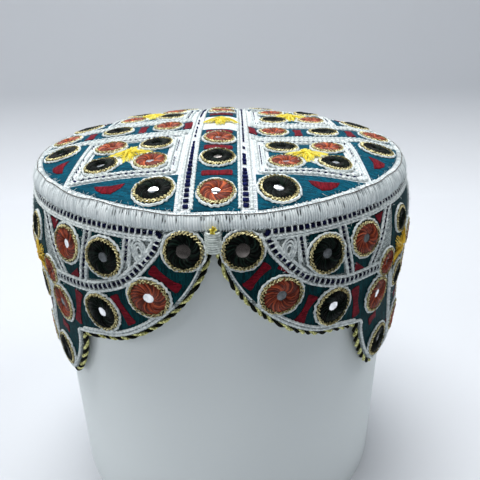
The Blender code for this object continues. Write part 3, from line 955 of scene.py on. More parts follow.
def wheel_model(seed, wider_eye=0.0):
    """A wheel round an open, uneven eye, wound with silk threads that swirl over it."""
    bpy.ops.object.select_all(action="DESELECT")
    outer = WHEEL_PROFILE[0][0]
    eye = WHEEL_PROFILE[-1][0]
    section = [(r + wider_eye * (outer - r) / (outer - eye), height) for r, height in WHEEL_PROFILE]
    throat = WHEEL_THROAT + wider_eye
    profile = bpy.data.meshes.new("wheel")
    corners = [(reach, 0.0, height) for reach, height in section]
    profile.from_pydata(corners, [(index, index + 1) for index in range(len(corners) - 1)], [])
    wheel = add_piece(profile)
    bpy.ops.object.mode_set(mode="EDIT")
    bpy.ops.mesh.select_all(action="SELECT")
    bpy.ops.mesh.spin(steps=WHEEL_SIDES, angle=2 * math.pi, center=(0, 0, 0), axis=(0, 0, 1))
    bpy.ops.object.mode_set(mode="OBJECT")
    merge_points(NEAR_POINT, outward=True)
    if sum(face.normal.z for face in wheel.data.polygons) < 0:
        wheel.data.flip_normals()
    # Painted shade: the wheel's body, seen between the threads, is dark, and its eye round the mirror
    # darker.
    shades = []
    for corner in wheel.data.vertices:
        flat = corner.co.xy
        shades.append(WHEEL_EYE_PAINTED_SHADE if flat.length < throat else WHEEL_BED_PAINTED_SHADE)
        if flat.length < throat:
            wander = WHEEL_EYE_WANDER * noise.noise((flat * WHEEL_EYE_WAVES).to_3d())
            corner.co.xy = flat.normalized() * (flat.length + wander)
    set_shades(wheel.data, shades)
    rng = random.Random(seed)
    threads = []
    for index in range(WHEEL_THREADS):
        shift = rng.uniform(-WHEEL_THREAD_SHIFT, WHEEL_THREAD_SHIFT)
        first = 2 * math.pi * (index + shift) / WHEEL_THREADS
        swirl = WHEEL_SWIRL * rng.uniform(*WHEEL_THREAD_SWIRLS)
        raised = rng.uniform(*WHEEL_THREAD_RISE)
        thread = []
        for reach, height in section[1:]:
            reach += rng.uniform(-WHEEL_THREAD_SWAY, WHEEL_THREAD_SWAY)
            turn = first + swirl * (reach / outer) ** 2
            thread.append((reach * math.cos(turn), reach * math.sin(turn), height + raised))
        threads.append(thread)
    shades = thread_tones(threads, rng)
    silk = couch(threads, (*WHEEL_THREAD_HALF, UNTWISTED, 0.0), shades=shades, sides=4)
    only(wheel)
    silk.select_set(True)
    bpy.ops.object.join()
    return bpy.context.object


def gold_ring_model():
    """Two gold strands that twist round each other in a ring, like a fine chain."""
    strands = []
    for phase in (0.0, math.pi):
        bpy.ops.object.select_all(action="DESELECT")
        bpy.ops.mesh.primitive_torus_add(
            major_segments=GOLD_RING_STEPS, minor_segments=GOLD_STRAND_SIDES,
            major_radius=GOLD_RING_RADIUS, minor_radius=GOLD_STRAND_HALF,
        )
        strand = bpy.context.object
        for corner in strand.data.vertices:
            turn = math.atan2(corner.co.y, corner.co.x)
            waves = (GOLD_RING_WAVES * math.cos(turn), GOLD_RING_WAVES * math.sin(turn), phase)
            drift = noise.noise(Vector(waves))
            twist = GOLD_RING_TWISTS * turn + phase + GOLD_RING_SLIP * drift
            sway = GOLD_STRAND_SWAY * (1 + drift) * math.cos(twist)
            reach = math.hypot(corner.co.x, corner.co.y) + sway
            rise = GOLD_STRAND_RISE * GOLD_STRAND_SWAY * math.sin(twist)
            corner.co = (reach * math.cos(turn), reach * math.sin(turn), corner.co.z + rise)
        strands.append(strand)
    only(strands[0])
    strands[1].select_set(True)
    bpy.ops.object.join()
    return bpy.context.object


def white_ring_model():
    """A soft white cord laid in a ring, a little uneven as it goes round."""
    bpy.ops.object.select_all(action="DESELECT")
    bpy.ops.mesh.primitive_torus_add(
        major_segments=WHITE_RING_STEPS, minor_segments=WHITE_RING_SIDES,
        major_radius=WHITE_RING_RADIUS, minor_radius=WHITE_RING_HALF,
    )
    ring = only(bpy.context.object)
    rng = random.Random(29)
    wobbles = [rng.uniform(-1.0, 1.0) * WHITE_RING_WOBBLE for step in range(WHITE_RING_STEPS)]
    for corner in ring.data.vertices:
        turn = math.atan2(corner.co.y, corner.co.x)
        step = round(turn * WHITE_RING_STEPS / (2 * math.pi)) % WHITE_RING_STEPS
        reach = math.hypot(corner.co.x, corner.co.y) + wobbles[step]
        corner.co = (reach * math.cos(turn), reach * math.sin(turn), corner.co.z + wobbles[step - 1])
    return ring


def mirror_model(radius):
    """A thin round of mirror glass, very slightly domed."""
    bpy.ops.object.select_all(action="DESELECT")
    bpy.ops.mesh.primitive_circle_add(vertices=MIRROR_SIDES, radius=radius, fill_type="NGON")
    glass = only(bpy.context.object)
    bpy.ops.object.mode_set(mode="EDIT")
    bpy.ops.mesh.select_all(action="SELECT")
    bpy.ops.mesh.inset(thickness=radius * MIRROR_RIM)
    bpy.ops.transform.translate(value=(0.0, 0.0, MIRROR_DOME))
    bpy.ops.object.mode_set(mode="OBJECT")
    return glass


def laid_look(name, colours, roughness, gloss=0.25):
    """Silk laid thread by thread: each thread has its own tone, and the darkest colour is painted shade
    between the threads.
    """
    look, nodes, links, shader = new_look(name, roughness, gloss)
    shade = nodes.new("ShaderNodeAttribute")
    shade.attribute_name = "tone_and_painted_shade"
    ramp = nodes.new("ShaderNodeValToRGB")
    ramp.color_ramp.elements.new(LAID_MIDDLE)
    for stop, colour in zip(ramp.color_ramp.elements, colours):
        stop.color = (*colour, 1.0)
    links.new(shade.outputs["Fac"], ramp.inputs["Fac"])
    links.new(ramp.outputs["Color"], shader.inputs["Base Color"])
    place = nodes.new("ShaderNodeTexCoord").outputs["Object"]
    fibres = cloudy(nodes, links, place, *LAID_FIBRES)
    raise_grain(nodes, links, fibres.outputs["Fac"], shader, *LAID_FIBRE_DEPTH)
    return look


def medallion_places(spots, lift, height, rng):
    """Where each medallion's part goes on the flat work, each turned its own way."""
    places = []
    for x, y, radius in spots:
        size = radius / MODEL_RADIUS
        squeeze = rng.uniform(*MEDALLION_SQUEEZE)
        grow = Matrix.Diagonal((size * squeeze, size / squeeze, 1.0, 1.0))
        turn = Matrix.Rotation(rng.uniform(0.0, 2 * math.pi), 4, "Z")
        places.append(Matrix.Translation((x, y, lift + height)) @ grow @ turn)
    return places


def tilted_places(spots, lift, rng):
    """Places for the mirrors, tipped by up to a few degrees so that they glint apart."""
    places = []
    for x, y, radius, tip in spots:
        size = radius / MODEL_RADIUS
        lean = Matrix.Rotation(-math.radians(tip), 4, "X")
        sway = Matrix.Rotation(rng.uniform(-MIRROR_SWAY, MIRROR_SWAY), 4, "Y")
        grow = Matrix.Diagonal((size, size, 1.0, 1.0))
        places.append(Matrix.Translation((x, y, lift + MIRROR_HEIGHT)) @ lean @ sway @ grow)
    return places


def metal_look(name, colours, roughness):
    """Thread wound with metal foil, with creases that glitter."""
    look, nodes, links, shader = new_look(name, roughness)
    place = nodes.new("ShaderNodeTexCoord").outputs["Object"]
    # Its colour drifts between dark and pale spots: painted shade and painted glints.
    links.new(mottle(nodes, links, place, FOIL_GLINT_AND_SHADE_CLOUD, colours), shader.inputs["Base Color"])
    creases = nodes.new("ShaderNodeTexVoronoi")
    creases.inputs["Scale"].default_value = FOIL_CREASES
    links.new(place, creases.inputs["Vector"])
    raise_grain(nodes, links, creases.outputs["Distance"], shader, *FOIL_CREASE_DEPTH)
    shader.inputs["Metallic"].default_value = FOIL_METAL
    return look


def wheels(seed, spots, lift, rng, wider_eye=0.0):
    """Wheels of one winding at all spots, each turned its own way."""
    return copies(wheel_model(seed, wider_eye), medallion_places(spots, lift, 0.0, rng))


def mirrors(spots, lift, rng, radius=MIRROR_RADIUS):
    """Rounds of mirror glass at all spots, each tipped its own way."""
    return copies(mirror_model(radius), tilted_places(spots, lift, rng))


def set_rings(spots, lift, cloth, side, rng):
    """The gold and the white rings round all medallions of the crown or the band."""
    places = medallion_places(spots, lift, GOLD_RING_HEIGHT, rng)
    sew(copies(gold_ring_model(), places), cloth, f"{side}_gold_rings", gold_thread, "gold_thread")
    places = medallion_places(spots, lift, WHITE_RING_HEIGHT, rng)
    sew(copies(white_ring_model(), places), cloth, f"{side}_white_rings", white_cotton, "white_thread")


crown_medallions = {"dark": [], "orange": []}
crown_nodes = {"dark": [], "orange": []}
for name, reach in COLUMN_MEDALLIONS.items():
    colour = "dark" if name == "middle" else "orange"
    for end, sign in (("front", -1), ("back", 1)):
        crown_medallions[colour].append((0.0, sign * reach, ARM_MEDALLION_RADIUS))
        crown_nodes[colour].append(f"column_medallion_{end}_{name}")
for name, reach in CROSSBAR_MEDALLIONS.items():
    colour = "dark" if name == "middle" else "orange"
    for end, sign in (("left", -1), ("right", 1)):
        crown_medallions[colour].append((sign * reach, 0.0, ARM_MEDALLION_RADIUS))
        crown_nodes[colour].append(f"crossbar_medallion_{end}_{name}")
for quarter in range(4):
    for index, offset in enumerate((RIM_MEDALLION_ANGLE, math.pi / 2 - RIM_MEDALLION_ANGLE)):
        turn = math.pi / 2 * quarter + offset
        spot = (RIM_MEDALLION_REACH * math.sin(turn), -RIM_MEDALLION_REACH * math.cos(turn))
        crown_medallions["dark"].append((*spot, RIM_MEDALLION_RADIUS))
        crown_nodes["dark"].append(f"rim_medallion_{2 * quarter + index + 1}")
for centre_x, centre_y in square_corners:
    for side_x in (-1, 1):
        for side_y in (-1, 1):
            outward = side_x * centre_x > 0
            frontward = side_y < 0
            dark_here = outward == frontward if centre_y < 0 else outward != frontward
            spot = (
                centre_x + side_x * SQUARE_MEDALLION_OFFSET,
                centre_y + side_y * SQUARE_MEDALLION_OFFSET,
                SQUARE_MEDALLION_RADIUS,
            )
            crown_medallions["dark" if dark_here else "orange"].append(spot)
dark_silk = laid_look("dark_green_silk", DARK_THREADS, roughness=0.36, gloss=0.06)
orange_silk = laid_look("rust_orange_silk", ORANGE_THREADS, roughness=0.45)
gold_thread = metal_look("gold_thread", GOLDS, roughness=0.32)
mirror_look = mottled_look(
    "silvered_mirror", SILVERED_GLASS, SILVERED_CLOUD, SILVERED_RIPPLE, roughness=0.06, metallic=1.0
)
tarnished_and_shaded_look = mottled_look(
    "tarnished_and_shaded_mirror", TARNISHED_AND_SHADED_GLASS, TARNISHED_AND_SHADED_CLOUD, roughness=0.16, metallic=0.9
)
rng = random.Random(23)
sew(
    wheels(19, crown_medallions["dark"], CROWN_LIFT, rng), on_crown,
    "crown_dark_wheels", dark_silk, "dark_thread", *crown_nodes["dark"],
)
sew(
    wheels(20, crown_medallions["orange"], CROWN_LIFT, rng), on_crown,
    "crown_orange_wheels", orange_silk, "orange_thread", *crown_nodes["orange"],
)
crown_all = crown_medallions["dark"] + crown_medallions["orange"]
set_rings(crown_all, CROWN_LIFT, on_crown, "crown", rng)
crown_mirrors = [(*spot, rng.uniform(-MIRROR_TIP, MIRROR_TIP)) for spot in crown_all]
# The column's middle mirrors get the darkened glass: partly tarnish, partly painted shade.
crown_tarnished_and_shaded = [m for m in crown_mirrors if m[0] == 0.0 and m[:3] in crown_medallions["dark"]]
crown_bright = [mirror for mirror in crown_mirrors if mirror not in crown_tarnished_and_shaded]
glass = mirrors(crown_bright, CROWN_LIFT, rng)
sew(glass, on_crown, "crown_mirrors", mirror_look, "mirror_glass")
glass = mirrors(crown_tarnished_and_shaded, CROWN_LIFT, rng)
sew(glass, on_crown, "crown_tarnished_and_shaded_mirrors", tarnished_and_shaded_look, "mirror_glass")


# Gold stars of the crown: long satin threads of yellow gold that radiate between the four
# medallions of each square, with one more star where the arms of the cross meet.
STAR_THREADS = 84
STAR_THREAD_HALF = 0.00021
STAR_CREST = 0.0021
STAR_FOOT = 0.0004
STAR_SHORT = 0.0034
STAR_LONG = 0.0098
STAR_KINK = 0.00045
STAR_SHARES = (0.0, 0.3, 0.55, 0.8, 1.0)
STAR_SHIFT = 0.3
STAR_LENGTHS = (0.70, 1.0)
STAR_STARTS = (-0.0010, 0.0020)
STAR_CRESTS = (0.25, 1.0)
CENTRE_STAR_DEPTH = 0.8
STAR_SHEEN = 0.30
STAR_GOLD = ((0.16, 0.085, 0.003), (0.84, 0.66, 0.020), (1.00, 0.95, 0.22))


def star_threads(centres, rng, flatten=1.0):
    """Threads from near each centre outwards, longest towards four points."""
    threads = []
    for centre_x, centre_y, turned in centres:
        for index in range(STAR_THREADS):
            turn = 2 * math.pi * (index + rng.uniform(-STAR_SHIFT, STAR_SHIFT)) / STAR_THREADS
            point = abs(math.cos(2 * (turn - turned)))
            length = STAR_SHORT + (STAR_LONG - STAR_SHORT) * point ** 2
            length *= rng.uniform(*STAR_LENGTHS)
            start = rng.uniform(*STAR_STARTS)
            crest = (STAR_CREST - STAR_FOOT) * rng.uniform(*STAR_CRESTS)
            thread = []
            for share in STAR_SHARES:
                reach = start + (length - start) * share
                kink = rng.uniform(-STAR_KINK, STAR_KINK)
                height = STAR_FOOT + crest * (1 - share ** 2) + rng.uniform(0.0, STAR_KINK)
                thread.append((
                    centre_x + reach * math.cos(turn) - kink * math.sin(turn),
                    centre_y + (reach * math.sin(turn) + kink * math.cos(turn)) * flatten,
                    height,
                ))
            threads.append(thread)
    return threads


def couched_stars(threads, rng):
    """The threads of stars as one piece, none of them in a dark shade."""
    shades = [STAR_SHEEN + (1 - STAR_SHEEN) * shade for shade in thread_tones(threads, rng)]
    return couch(threads, round_thread(STAR_THREAD_HALF), shades=shades, sides=4)


rng = random.Random(31)
crown_threads = star_threads([(x, y, 0.0) for x, y in square_corners], rng)
crown_threads += star_threads([(0.0, 0.0, 0.0)], rng, CENTRE_STAR_DEPTH)
star_gold = laid_look("yellow_gold_silk", STAR_GOLD, roughness=0.35)
flower_nodes = [f"crown_flower_{end}_{side}" for end in ("front", "back") for side in ("left", "right")]
sew(
    couched_stars(crown_threads, rng), on_crown,
    "crown_gold_stars", star_gold, "gold_thread", *flower_nodes,
)


# Rim roll: a padded roll where the crown meets the band, wrapped all round in overcast
# stitches of thick white cotton, each a little longer or prouder than the next. It slopes
# outwards and down, and slits show where the stitches part; painted shade darkens them and
# the valleys between the stitches.
ROLL_RADIUS = 0.0859
ROLL_DROP = 0.0034
ROLL_HALF_WIDTH = 0.0037
ROLL_HALF_HEIGHT = 0.0016
ROLL_TILT = math.radians(64)
ROLL_STITCHES = 560
ROLL_STITCH_HEIGHTS = (-0.6, 0.9, 1.0, 0.1)
ROLL_STEPS = len(ROLL_STITCH_HEIGHTS) * ROLL_STITCHES
ROLL_SIDES = 16
ROLL_RIDGE = 0.00024
ROLL_SLANT = 0.0060
ROLL_SLANTS = (-0.6, 1.6)
ROLL_PROUD = (0.3, 1.5)
ROLL_PUCKER = 1.2
ROLL_GAP_SHARE = 0.42
ROLL_GAP_START = (-0.55, 0.22)
ROLL_GAP_LENGTHS = (0.2, 0.7)
ROLL_GAP_DEPTH = -1.6
ROLL_SHADES = (0.66, 1.0)
ROLL_VALLEY_PAINTED_SHADE = 0.50
# The first colour is painted shade, for the open slits.
ROLL_THREADS = ((0.006, 0.007, 0.010), (0.54, 0.60, 0.62), (0.90, 0.96, 0.97))


def on_roll(turn, around_roll, slack):
    """A point of the roll, at an angle round the cap and an angle round its section."""
    narrower = FRONT_DIP / 2 * drawn_down(math.sin(turn), -math.cos(turn))
    out = (ROLL_HALF_WIDTH - narrower) * math.cos(around_roll) * slack
    up = ROLL_HALF_HEIGHT * math.sin(around_roll) * slack
    radius = ROLL_RADIUS + out * math.cos(ROLL_TILT) + up * math.sin(ROLL_TILT)
    drop = ROLL_DROP + narrower + out * math.sin(ROLL_TILT) - up * math.cos(ROLL_TILT)
    height = RIM_HEIGHT - drop
    spot = Vector((radius * math.sin(turn), -radius * math.cos(turn), height))
    spot.z += ROLL_PUCKER * pucker(spot)
    return spot


bpy.ops.object.select_all(action="DESELECT")
bpy.ops.mesh.primitive_grid_add(x_subdivisions=ROLL_STEPS, y_subdivisions=ROLL_SIDES, size=2.0)
roll = only(bpy.context.object)
rng = random.Random(5)
proud = [rng.uniform(*ROLL_PROUD) for stitch_index in range(ROLL_STITCHES)]
gap_start = [rng.gauss(*ROLL_GAP_START) for stitch_index in range(ROLL_STITCHES)]
gap_length = [rng.uniform(*ROLL_GAP_LENGTHS) for stitch_index in range(ROLL_STITCHES)]
open_gap = [rng.random() < ROLL_GAP_SHARE for stitch_index in range(ROLL_STITCHES)]
stitch_shade = [rng.uniform(*ROLL_SHADES) for stitch_index in range(ROLL_STITCHES)]
slants = [rng.uniform(*ROLL_SLANTS) * ROLL_SLANT for stitch_index in range(ROLL_STITCHES)]
last_phase = len(ROLL_STITCH_HEIGHTS) - 1
roll_shades = []
for corner in roll.data.vertices:
    segment = round((corner.co.x + 1) / 2 * ROLL_STEPS) % ROLL_STEPS
    around_roll = math.pi * (corner.co.y + 1)
    number, phase = divmod(segment, len(ROLL_STITCH_HEIGHTS))
    across = math.cos(around_roll)
    slant = (slants[number] + slants[number - 1] * (last_phase - phase) / last_phase) / 2
    turn = 2 * math.pi * segment / ROLL_STEPS + slant * across
    ridge = ROLL_STITCH_HEIGHTS[phase] * proud[number]
    # Painted shade: a valley between stitches takes a darker value, and an open slit the darkest.
    shade = stitch_shade[number] if phase else ROLL_VALLEY_PAINTED_SHADE
    within_gap = 0 < across - gap_start[number] < gap_length[number]
    if phase < 2 and open_gap[number] and math.sin(around_roll) > 0 and within_gap:
        ridge = ROLL_GAP_DEPTH
        shade = 0.0
    roll_shades.append(shade)
    corner.co = on_roll(turn, around_roll, 1 + ROLL_RIDGE / ROLL_HALF_HEIGHT * ridge)
set_shades(roll.data, roll_shades)
merge_points(SAME_POINT, outward=True)
overcast_cotton = laid_look("overcast_cotton", ROLL_THREADS, roughness=0.75)
fasten(roll, "rim_roll_stitches", overcast_cotton, "white_thread", "rim_roll")


# Seam of the rim: a thin grey tacking thread, left in along the upper part of the roll,
# where the roll is sewn to the crown.
SEAM_AROUND = 2.35
SEAM_SWAY = 0.22
SEAM_WAVES = 7
SEAM_SLACK = 1.16
SEAM_STEPS = 420
SEAM_HALF = 0.00018
SEAM_GREYS = ((0.05, 0.045, 0.04), (0.20, 0.18, 0.17))


def lay_on_roll(x, y, lift):
    """Where a point of a round lies on the roll, drifting up and down as it goes."""
    turn = math.atan2(x, -y)
    drift = noise.noise(Vector((SEAM_WAVES * math.sin(turn), SEAM_WAVES * math.cos(turn), 0.0)))
    spot = on_roll(turn, SEAM_AROUND + SEAM_SWAY * drift, SEAM_SLACK)
    flat = Vector((x, y, 0.0))
    side = flat - flat.normalized() * ROLL_RADIUS
    return spot + side + Vector((0.0, 0.0, lift))


turns = [2 * math.pi * step / SEAM_STEPS for step in range(SEAM_STEPS)]
seam = [(ROLL_RADIUS * math.sin(turn), -ROLL_RADIUS * math.cos(turn)) for turn in turns]
seam_grey = cord_look("grey_tacking_thread", SEAM_GREYS, roughness=0.7, relief=0.5)
seam_thread = couch([seam], round_thread(SEAM_HALF), closed=True)
sew(seam_thread, lay_on_roll, "rim_seam_thread", seam_grey, "dark_thread")


# Band cloth: the padded wall of the cap, cut with a notch at the front, a rounded lobe on
# each side of it and a deeper panel behind a cusp. It is quilted cotton, worked in white,
# and closes in at its top in a rounded shoulder.
BAND_RADIUS = 0.0917
BAND_TAPER = 0.0233
BAND_WALL = 0.0030
BAND_TOP = -0.0046
SHOULDER_DEPTH = 0.0064
SHOULDER_REACH = 0.0320
SHOULDER_DIP = 0.458
FRONT_ANGLE = math.radians(-0.65)
NOTCH_HALF_WIDTH = 0.0007
NOTCH_DROP = 0.0128
LOBE_ANGLE = math.radians(30)
LOBE_DROP = 0.0574
LOBE_POWER = 1.6
CUSP_ANGLE = math.radians(39.1)
CUSP_DROP = 0.0609
PANEL_ANGLE = math.radians(50)
PANEL_DROP = 0.0900
PANEL_POWER = 1.4
HEM_SKEW = 0.0022
PIPING_RADIUS = 0.0011
LOBE_STEPS = 26
CUSP_STEPS = 6
PANEL_STEPS = 14
BACK_STEPS = 96
MITRE_LIMIT = 0.35
CLOTH_INSET = 0.0020
NOTCH_INSET = 0.0022
BAND_ROWS = 20
# The band's whites are darker than the crown's: partly dirt on the band, partly painted shade of its
# upright wall.
BAND_DIRTY_AND_SHADED_WHITES = ((0.30, 0.34, 0.34), (0.58, 0.65, 0.63))
# Painted shade in the gaps between the stitches.
BAND_WHITE_GAP_PAINTED_SHADE = (0.05, 0.05, 0.055)


def on_band(along_wall, height, lift):
    """Where a point of the flat work comes to lie on the band. Heights are negative."""
    angle = FRONT_ANGLE + along_wall / BAND_RADIUS
    shoulder = SHOULDER_DEPTH * max(0.0, 1 + height / SHOULDER_REACH) ** 2
    radius = BAND_RADIUS + BAND_TAPER * height - shoulder
    skew = HEM_SKEW * math.sin(angle) * min(1.0, -height / LOBE_DROP)
    level = RIM_HEIGHT + height - SHOULDER_DIP * shoulder + skew
    spot = Vector((radius * math.sin(angle), -radius * math.cos(angle), level))
    radius += lift + pucker(spot)
    return Vector((radius * math.sin(angle), -radius * math.cos(angle), level))


def wall_run(degrees):
    """How far along the flat work an angle from the front lies."""
    return math.radians(degrees) * BAND_RADIUS


def quarter_oval(power, steps):
    """Quarter of a rounded diamond or oval, as pairs from (0, 0) to (1, 1), steep first."""
    turns = [math.pi / 2 * step / steps for step in range(steps + 1)]
    return [(1 - max(0.0, math.cos(t)) ** (2 / power), math.sin(t) ** (2 / power)) for t in turns]


def hem_line():
    """The hem's outer line on one half, from the notch to the back, in the flat work."""
    lobe = LOBE_ANGLE * BAND_RADIUS
    cusp = CUSP_ANGLE * BAND_RADIUS
    panel = PANEL_ANGLE * BAND_RADIUS
    line = []
    for across, down in quarter_oval(LOBE_POWER, LOBE_STEPS):
        x = NOTCH_HALF_WIDTH + across * (lobe - NOTCH_HALF_WIDTH)
        line.append((x, -NOTCH_DROP - down * (LOBE_DROP - NOTCH_DROP)))
    for part in range(1, CUSP_STEPS):
        share = part / CUSP_STEPS
        line.append((lobe + share * (cusp - lobe), -LOBE_DROP - share * (CUSP_DROP - LOBE_DROP)))
    for across, down in quarter_oval(PANEL_POWER, PANEL_STEPS):
        line.append((cusp + across * (panel - cusp), -CUSP_DROP - down * (PANEL_DROP - CUSP_DROP)))
    back = math.pi * BAND_RADIUS
    for part in range(1, BACK_STEPS + 1):
        line.append((panel + (back - panel) * part / BACK_STEPS, -PANEL_DROP))
    return line


def inset(line, distance):
    """A hem line moved up into the cloth, with mitred corners."""
    moved = []
    for index, (x, y) in enumerate(line):
        sides = []
        for start, end in ((index - 1, index), (index, index + 1)):
            if start >= 0 and end < len(line):
                run = Vector((line[end][0] - line[start][0], line[end][1] - line[start][1]))
                sides.append(Vector((-run.y, run.x)).normalized())
        mean = sum(sides, Vector((0.0, 0.0))) / len(sides)
        shift = mean * distance / max(mean.length_squared, MITRE_LIMIT)
        moved.append((x + shift.x, y + shift.y))
    return moved


def both_sides(line):
    """A half line from the front to the back, as one line from the back right round."""
    return [(-x, y) for x, y in reversed(line[1:])] + line


cloth_edge = [(0.0, -NOTCH_DROP + NOTCH_INSET)] + inset(hem_line(), CLOTH_INSET)
cloth_round = both_sides(cloth_edge)
bpy.ops.object.select_all(action="DESELECT")
bpy.ops.mesh.primitive_grid_add(
    x_subdivisions=len(cloth_round) - 1, y_subdivisions=BAND_ROWS, size=2.0
)
band = only(bpy.context.object)
for corner in band.data.vertices:
    column = round((corner.co.x + 1) / 2 * (len(cloth_round) - 1))
    share = (1 - corner.co.y) / 2
    x, hem = cloth_round[column]
    corner.co = (x, BAND_TOP + share * (hem - BAND_TOP), 0.0)
modify("SOLIDIFY", thickness=BAND_WALL, offset=-1.0)
lay(band, on_band)
merge_points(NEAR_POINT)
band_white = stitched_look(
    "band_worked_cotton", BAND_DIRTY_AND_SHADED_WHITES, BAND_WHITE_GAP_PAINTED_SHADE, CLOTH_STITCH,
    turned=0.0, roughness=0.85, relief=0.8,
)
fasten(band, "band_cloth", band_white, "white_thread", "side_band_left", "side_band_right")


# Ladders of the band: two white cords with padded navy stitches between them, parted by
# white ticks on the full ones. One runs under the rim roll, one falls from it in an arc on
# each side of the front, and shorter ones part the arc into fields.
LADDER_STEP = 0.0025
LADDER_DASH = (0.00188, 0.0015, 0.00100)
THIN_DASH = (0.0015, 0.0009, 0.00085)
TICK = (0.00050, 0.0024, 0.00105)
TICK_OFFSET = 2
TICK_LIFT = 0.00065
RIM_LADDER = ((12.0, -0.0060), (30.0, -0.0060), (60.0, -0.0060), (90.0, -0.0060))
ARC_LADDER = (
    (12.0, -0.0060), (13.6, -0.0128), (16.0, -0.0180), (19.0, -0.0233), (22.7, -0.0280),
    (27.0, -0.0310), (31.7, -0.0332), (36.4, -0.0340), (42.0, -0.0348), (51.0, -0.0362),
)
LEAF_LADDER = ((20.3, -0.0092), (20.6, -0.0145), (20.9, -0.0200))
UPRIGHT_LADDER = ((32.0, -0.0088), (32.8, -0.0180), (34.3, -0.0312))
SLANT_LADDER = ((51.6, -0.0086), (49.5, -0.0120), (45.6, -0.0230), (42.2, -0.0326))
SIDE_LADDER = ((74.6, -0.0088), (74.6, -0.0300), (74.6, -0.0420))
RIM_STRIP = ((12.0, -0.0089), (40.0, -0.0089), (90.0, -0.0089))
PANEL_STRIP_HALF = 0.0008
PANEL_STRIP = ((53.0, -0.0385), (55.4, -0.0500), (57.6, -0.0620), (59.8, -0.0740), (61.5, -0.0855))
BACK_SEAM = ((180.0, -0.0040), (180.0, -0.0400), (180.0, -0.0860))
BAND_CORD = (0.00078, 0.00055, 0.0042, 0.00042)
QUARTER_TURN = wall_run(90)
BLACK_NAVIES = ((0.001, 0.001, 0.006), (0.004, 0.006, 0.040))


def wall_outline(points):
    """An outline of the flat work from degrees round the band and metres below the rim."""
    return [(wall_run(degrees), y) for degrees, y in points]


def wall_path(points, spacing):
    """A smooth line from points in degrees round the band and metres below the rim."""
    return along_curve(wall_outline(points), spacing)


def four_ways(path):
    """A line of the front right quarter, with its like in the other three quarters."""
    back = [(2 * QUARTER_TURN - x, y) for x, y in path]
    return [path, [(-x, y) for x, y in path], back, [(-x, y) for x, y in back]]


band_lines = []
band_dashes = []
band_ticks = []
thin_dashes = []
rng = random.Random(17)
ladders = (
    # route, half the space between its cords, thin or full stitches
    (RIM_LADDER, 0.0018, False),
    (ARC_LADDER, 0.0019, False),
    (LEAF_LADDER, 0.0012, True),
    (UPRIGHT_LADDER, 0.0014, True),
    (SLANT_LADDER, 0.0014, True),
    (SIDE_LADDER, 0.0016, True),
)
for route, half_space, thin in ladders:
    for path in four_ways(wall_path(route, CORD_STEP)):
        band_lines += [beside(path, half_space), beside(path, -half_space)]
        if thin:
            thin_dashes += along(path, LADDER_STEP, DASH_LIFT, rng)
        else:
            band_dashes += along(path, LADDER_STEP, DASH_LIFT, rng)
            band_ticks += along(path[TICK_OFFSET:], LADDER_STEP, TICK_LIFT, rng)
band_lines += four_ways(wall_path(RIM_STRIP, CORD_STEP))
for path in four_ways(wall_path(PANEL_STRIP, CORD_STEP)):
    band_lines += [beside(path, PANEL_STRIP_HALF), beside(path, -PANEL_STRIP_HALF)]
band_lines.append(wall_path(BACK_SEAM, CORD_STEP))
black_navy_cotton = cord_look("black_navy_cotton", BLACK_NAVIES, roughness=0.60, relief=0.5)
band_cords = couch(band_lines, BAND_CORD, sides=5)
sew(band_cords, on_band, "band_white_cords", white_cotton, "white_thread")
for size, places, name, look, slot in (
    (TICK, band_ticks, "band_white_ticks", white_cotton, "white_thread"),
    (LADDER_DASH, band_dashes, "band_navy_stitches", black_navy_cotton, "navy_thread"),
    (THIN_DASH, thin_dashes, "band_thin_navy_stitches", black_navy_cotton, "navy_thread"),
):
    sew(copies(stitch(size), places), on_band, name, look, slot)


# Teal fields of the band: one large field below the arc, down to the hem, and the fields
# behind the upper medallions.
# The band's teal is a darker copy of the crown's teal: painted shade of the band's upright wall.
BAND_TEALS_WITH_PAINTED_SHADE = ((0.001, 0.020, 0.025), (0.003, 0.064, 0.074))
HEM_MARGIN = 0.0034
BAND_FIELD_HEIGHT = 0.00030
ARC_FIELD_GAP = 0.0028
GREAT_FIELD_START = 0.0030
GREAT_FIELD_FRONT = ((0.0030, -0.0090), (0.0036, -0.0050))
GREAT_FIELD_SIDE = ((53.2, -0.0382), (52.2, -0.0330), (53.6, -0.0102), (90.0, -0.0102))
DARK_FIELD = (
    (21.8, -0.0100), (30.9, -0.0100), (32.4, -0.0302),
    (28.2, -0.0288), (24.6, -0.0262), (21.9, -0.0225),
)
ORANGE_FIELD = ((33.1, -0.0100), (49.6, -0.0100), (41.3, -0.0322), (35.4, -0.0317))


def four_patches(points):
    """A patch of the front right quarter, with its like in the other three quarters."""
    patch = wall_outline(points)
    behind = [(2 * QUARTER_TURN - x, y) for x, y in reversed(patch)]
    return [patch, mirrored(patch), behind, mirrored(behind)]


field_top = list(GREAT_FIELD_FRONT)
field_top += beside(wall_path(ARC_LADDER, FIELD_GRID), -ARC_FIELD_GAP)
field_top += wall_outline(GREAT_FIELD_SIDE)
field_top += [(2 * QUARTER_TURN - x, y) for x, y in reversed(field_top[:-1])]
field_hem = [spot for spot in inset(hem_line(), HEM_MARGIN) if spot[0] > GREAT_FIELD_START]
field_hem = [(min(x, field_top[-1][0]), y) for x, y in field_hem]
great_field = field_hem + list(reversed(field_top))
band_teal = [great_field, mirrored(great_field)]
band_teal += four_patches(DARK_FIELD) + four_patches(ORANGE_FIELD)
teal_deep = stitched_look(
    "teal_silk_with_painted_shade", BAND_TEALS_WITH_PAINTED_SHADE, TEAL_GAP_PAINTED_SHADE, TEAL_STITCH,
    turned=math.pi / 2, roughness=0.6, relief=0.6,
)
band_fields = cut_patches(band_teal, BAND_FIELD_HEIGHT)
sew(band_fields, on_band, "band_teal_fields", teal_deep, "band_cloth")


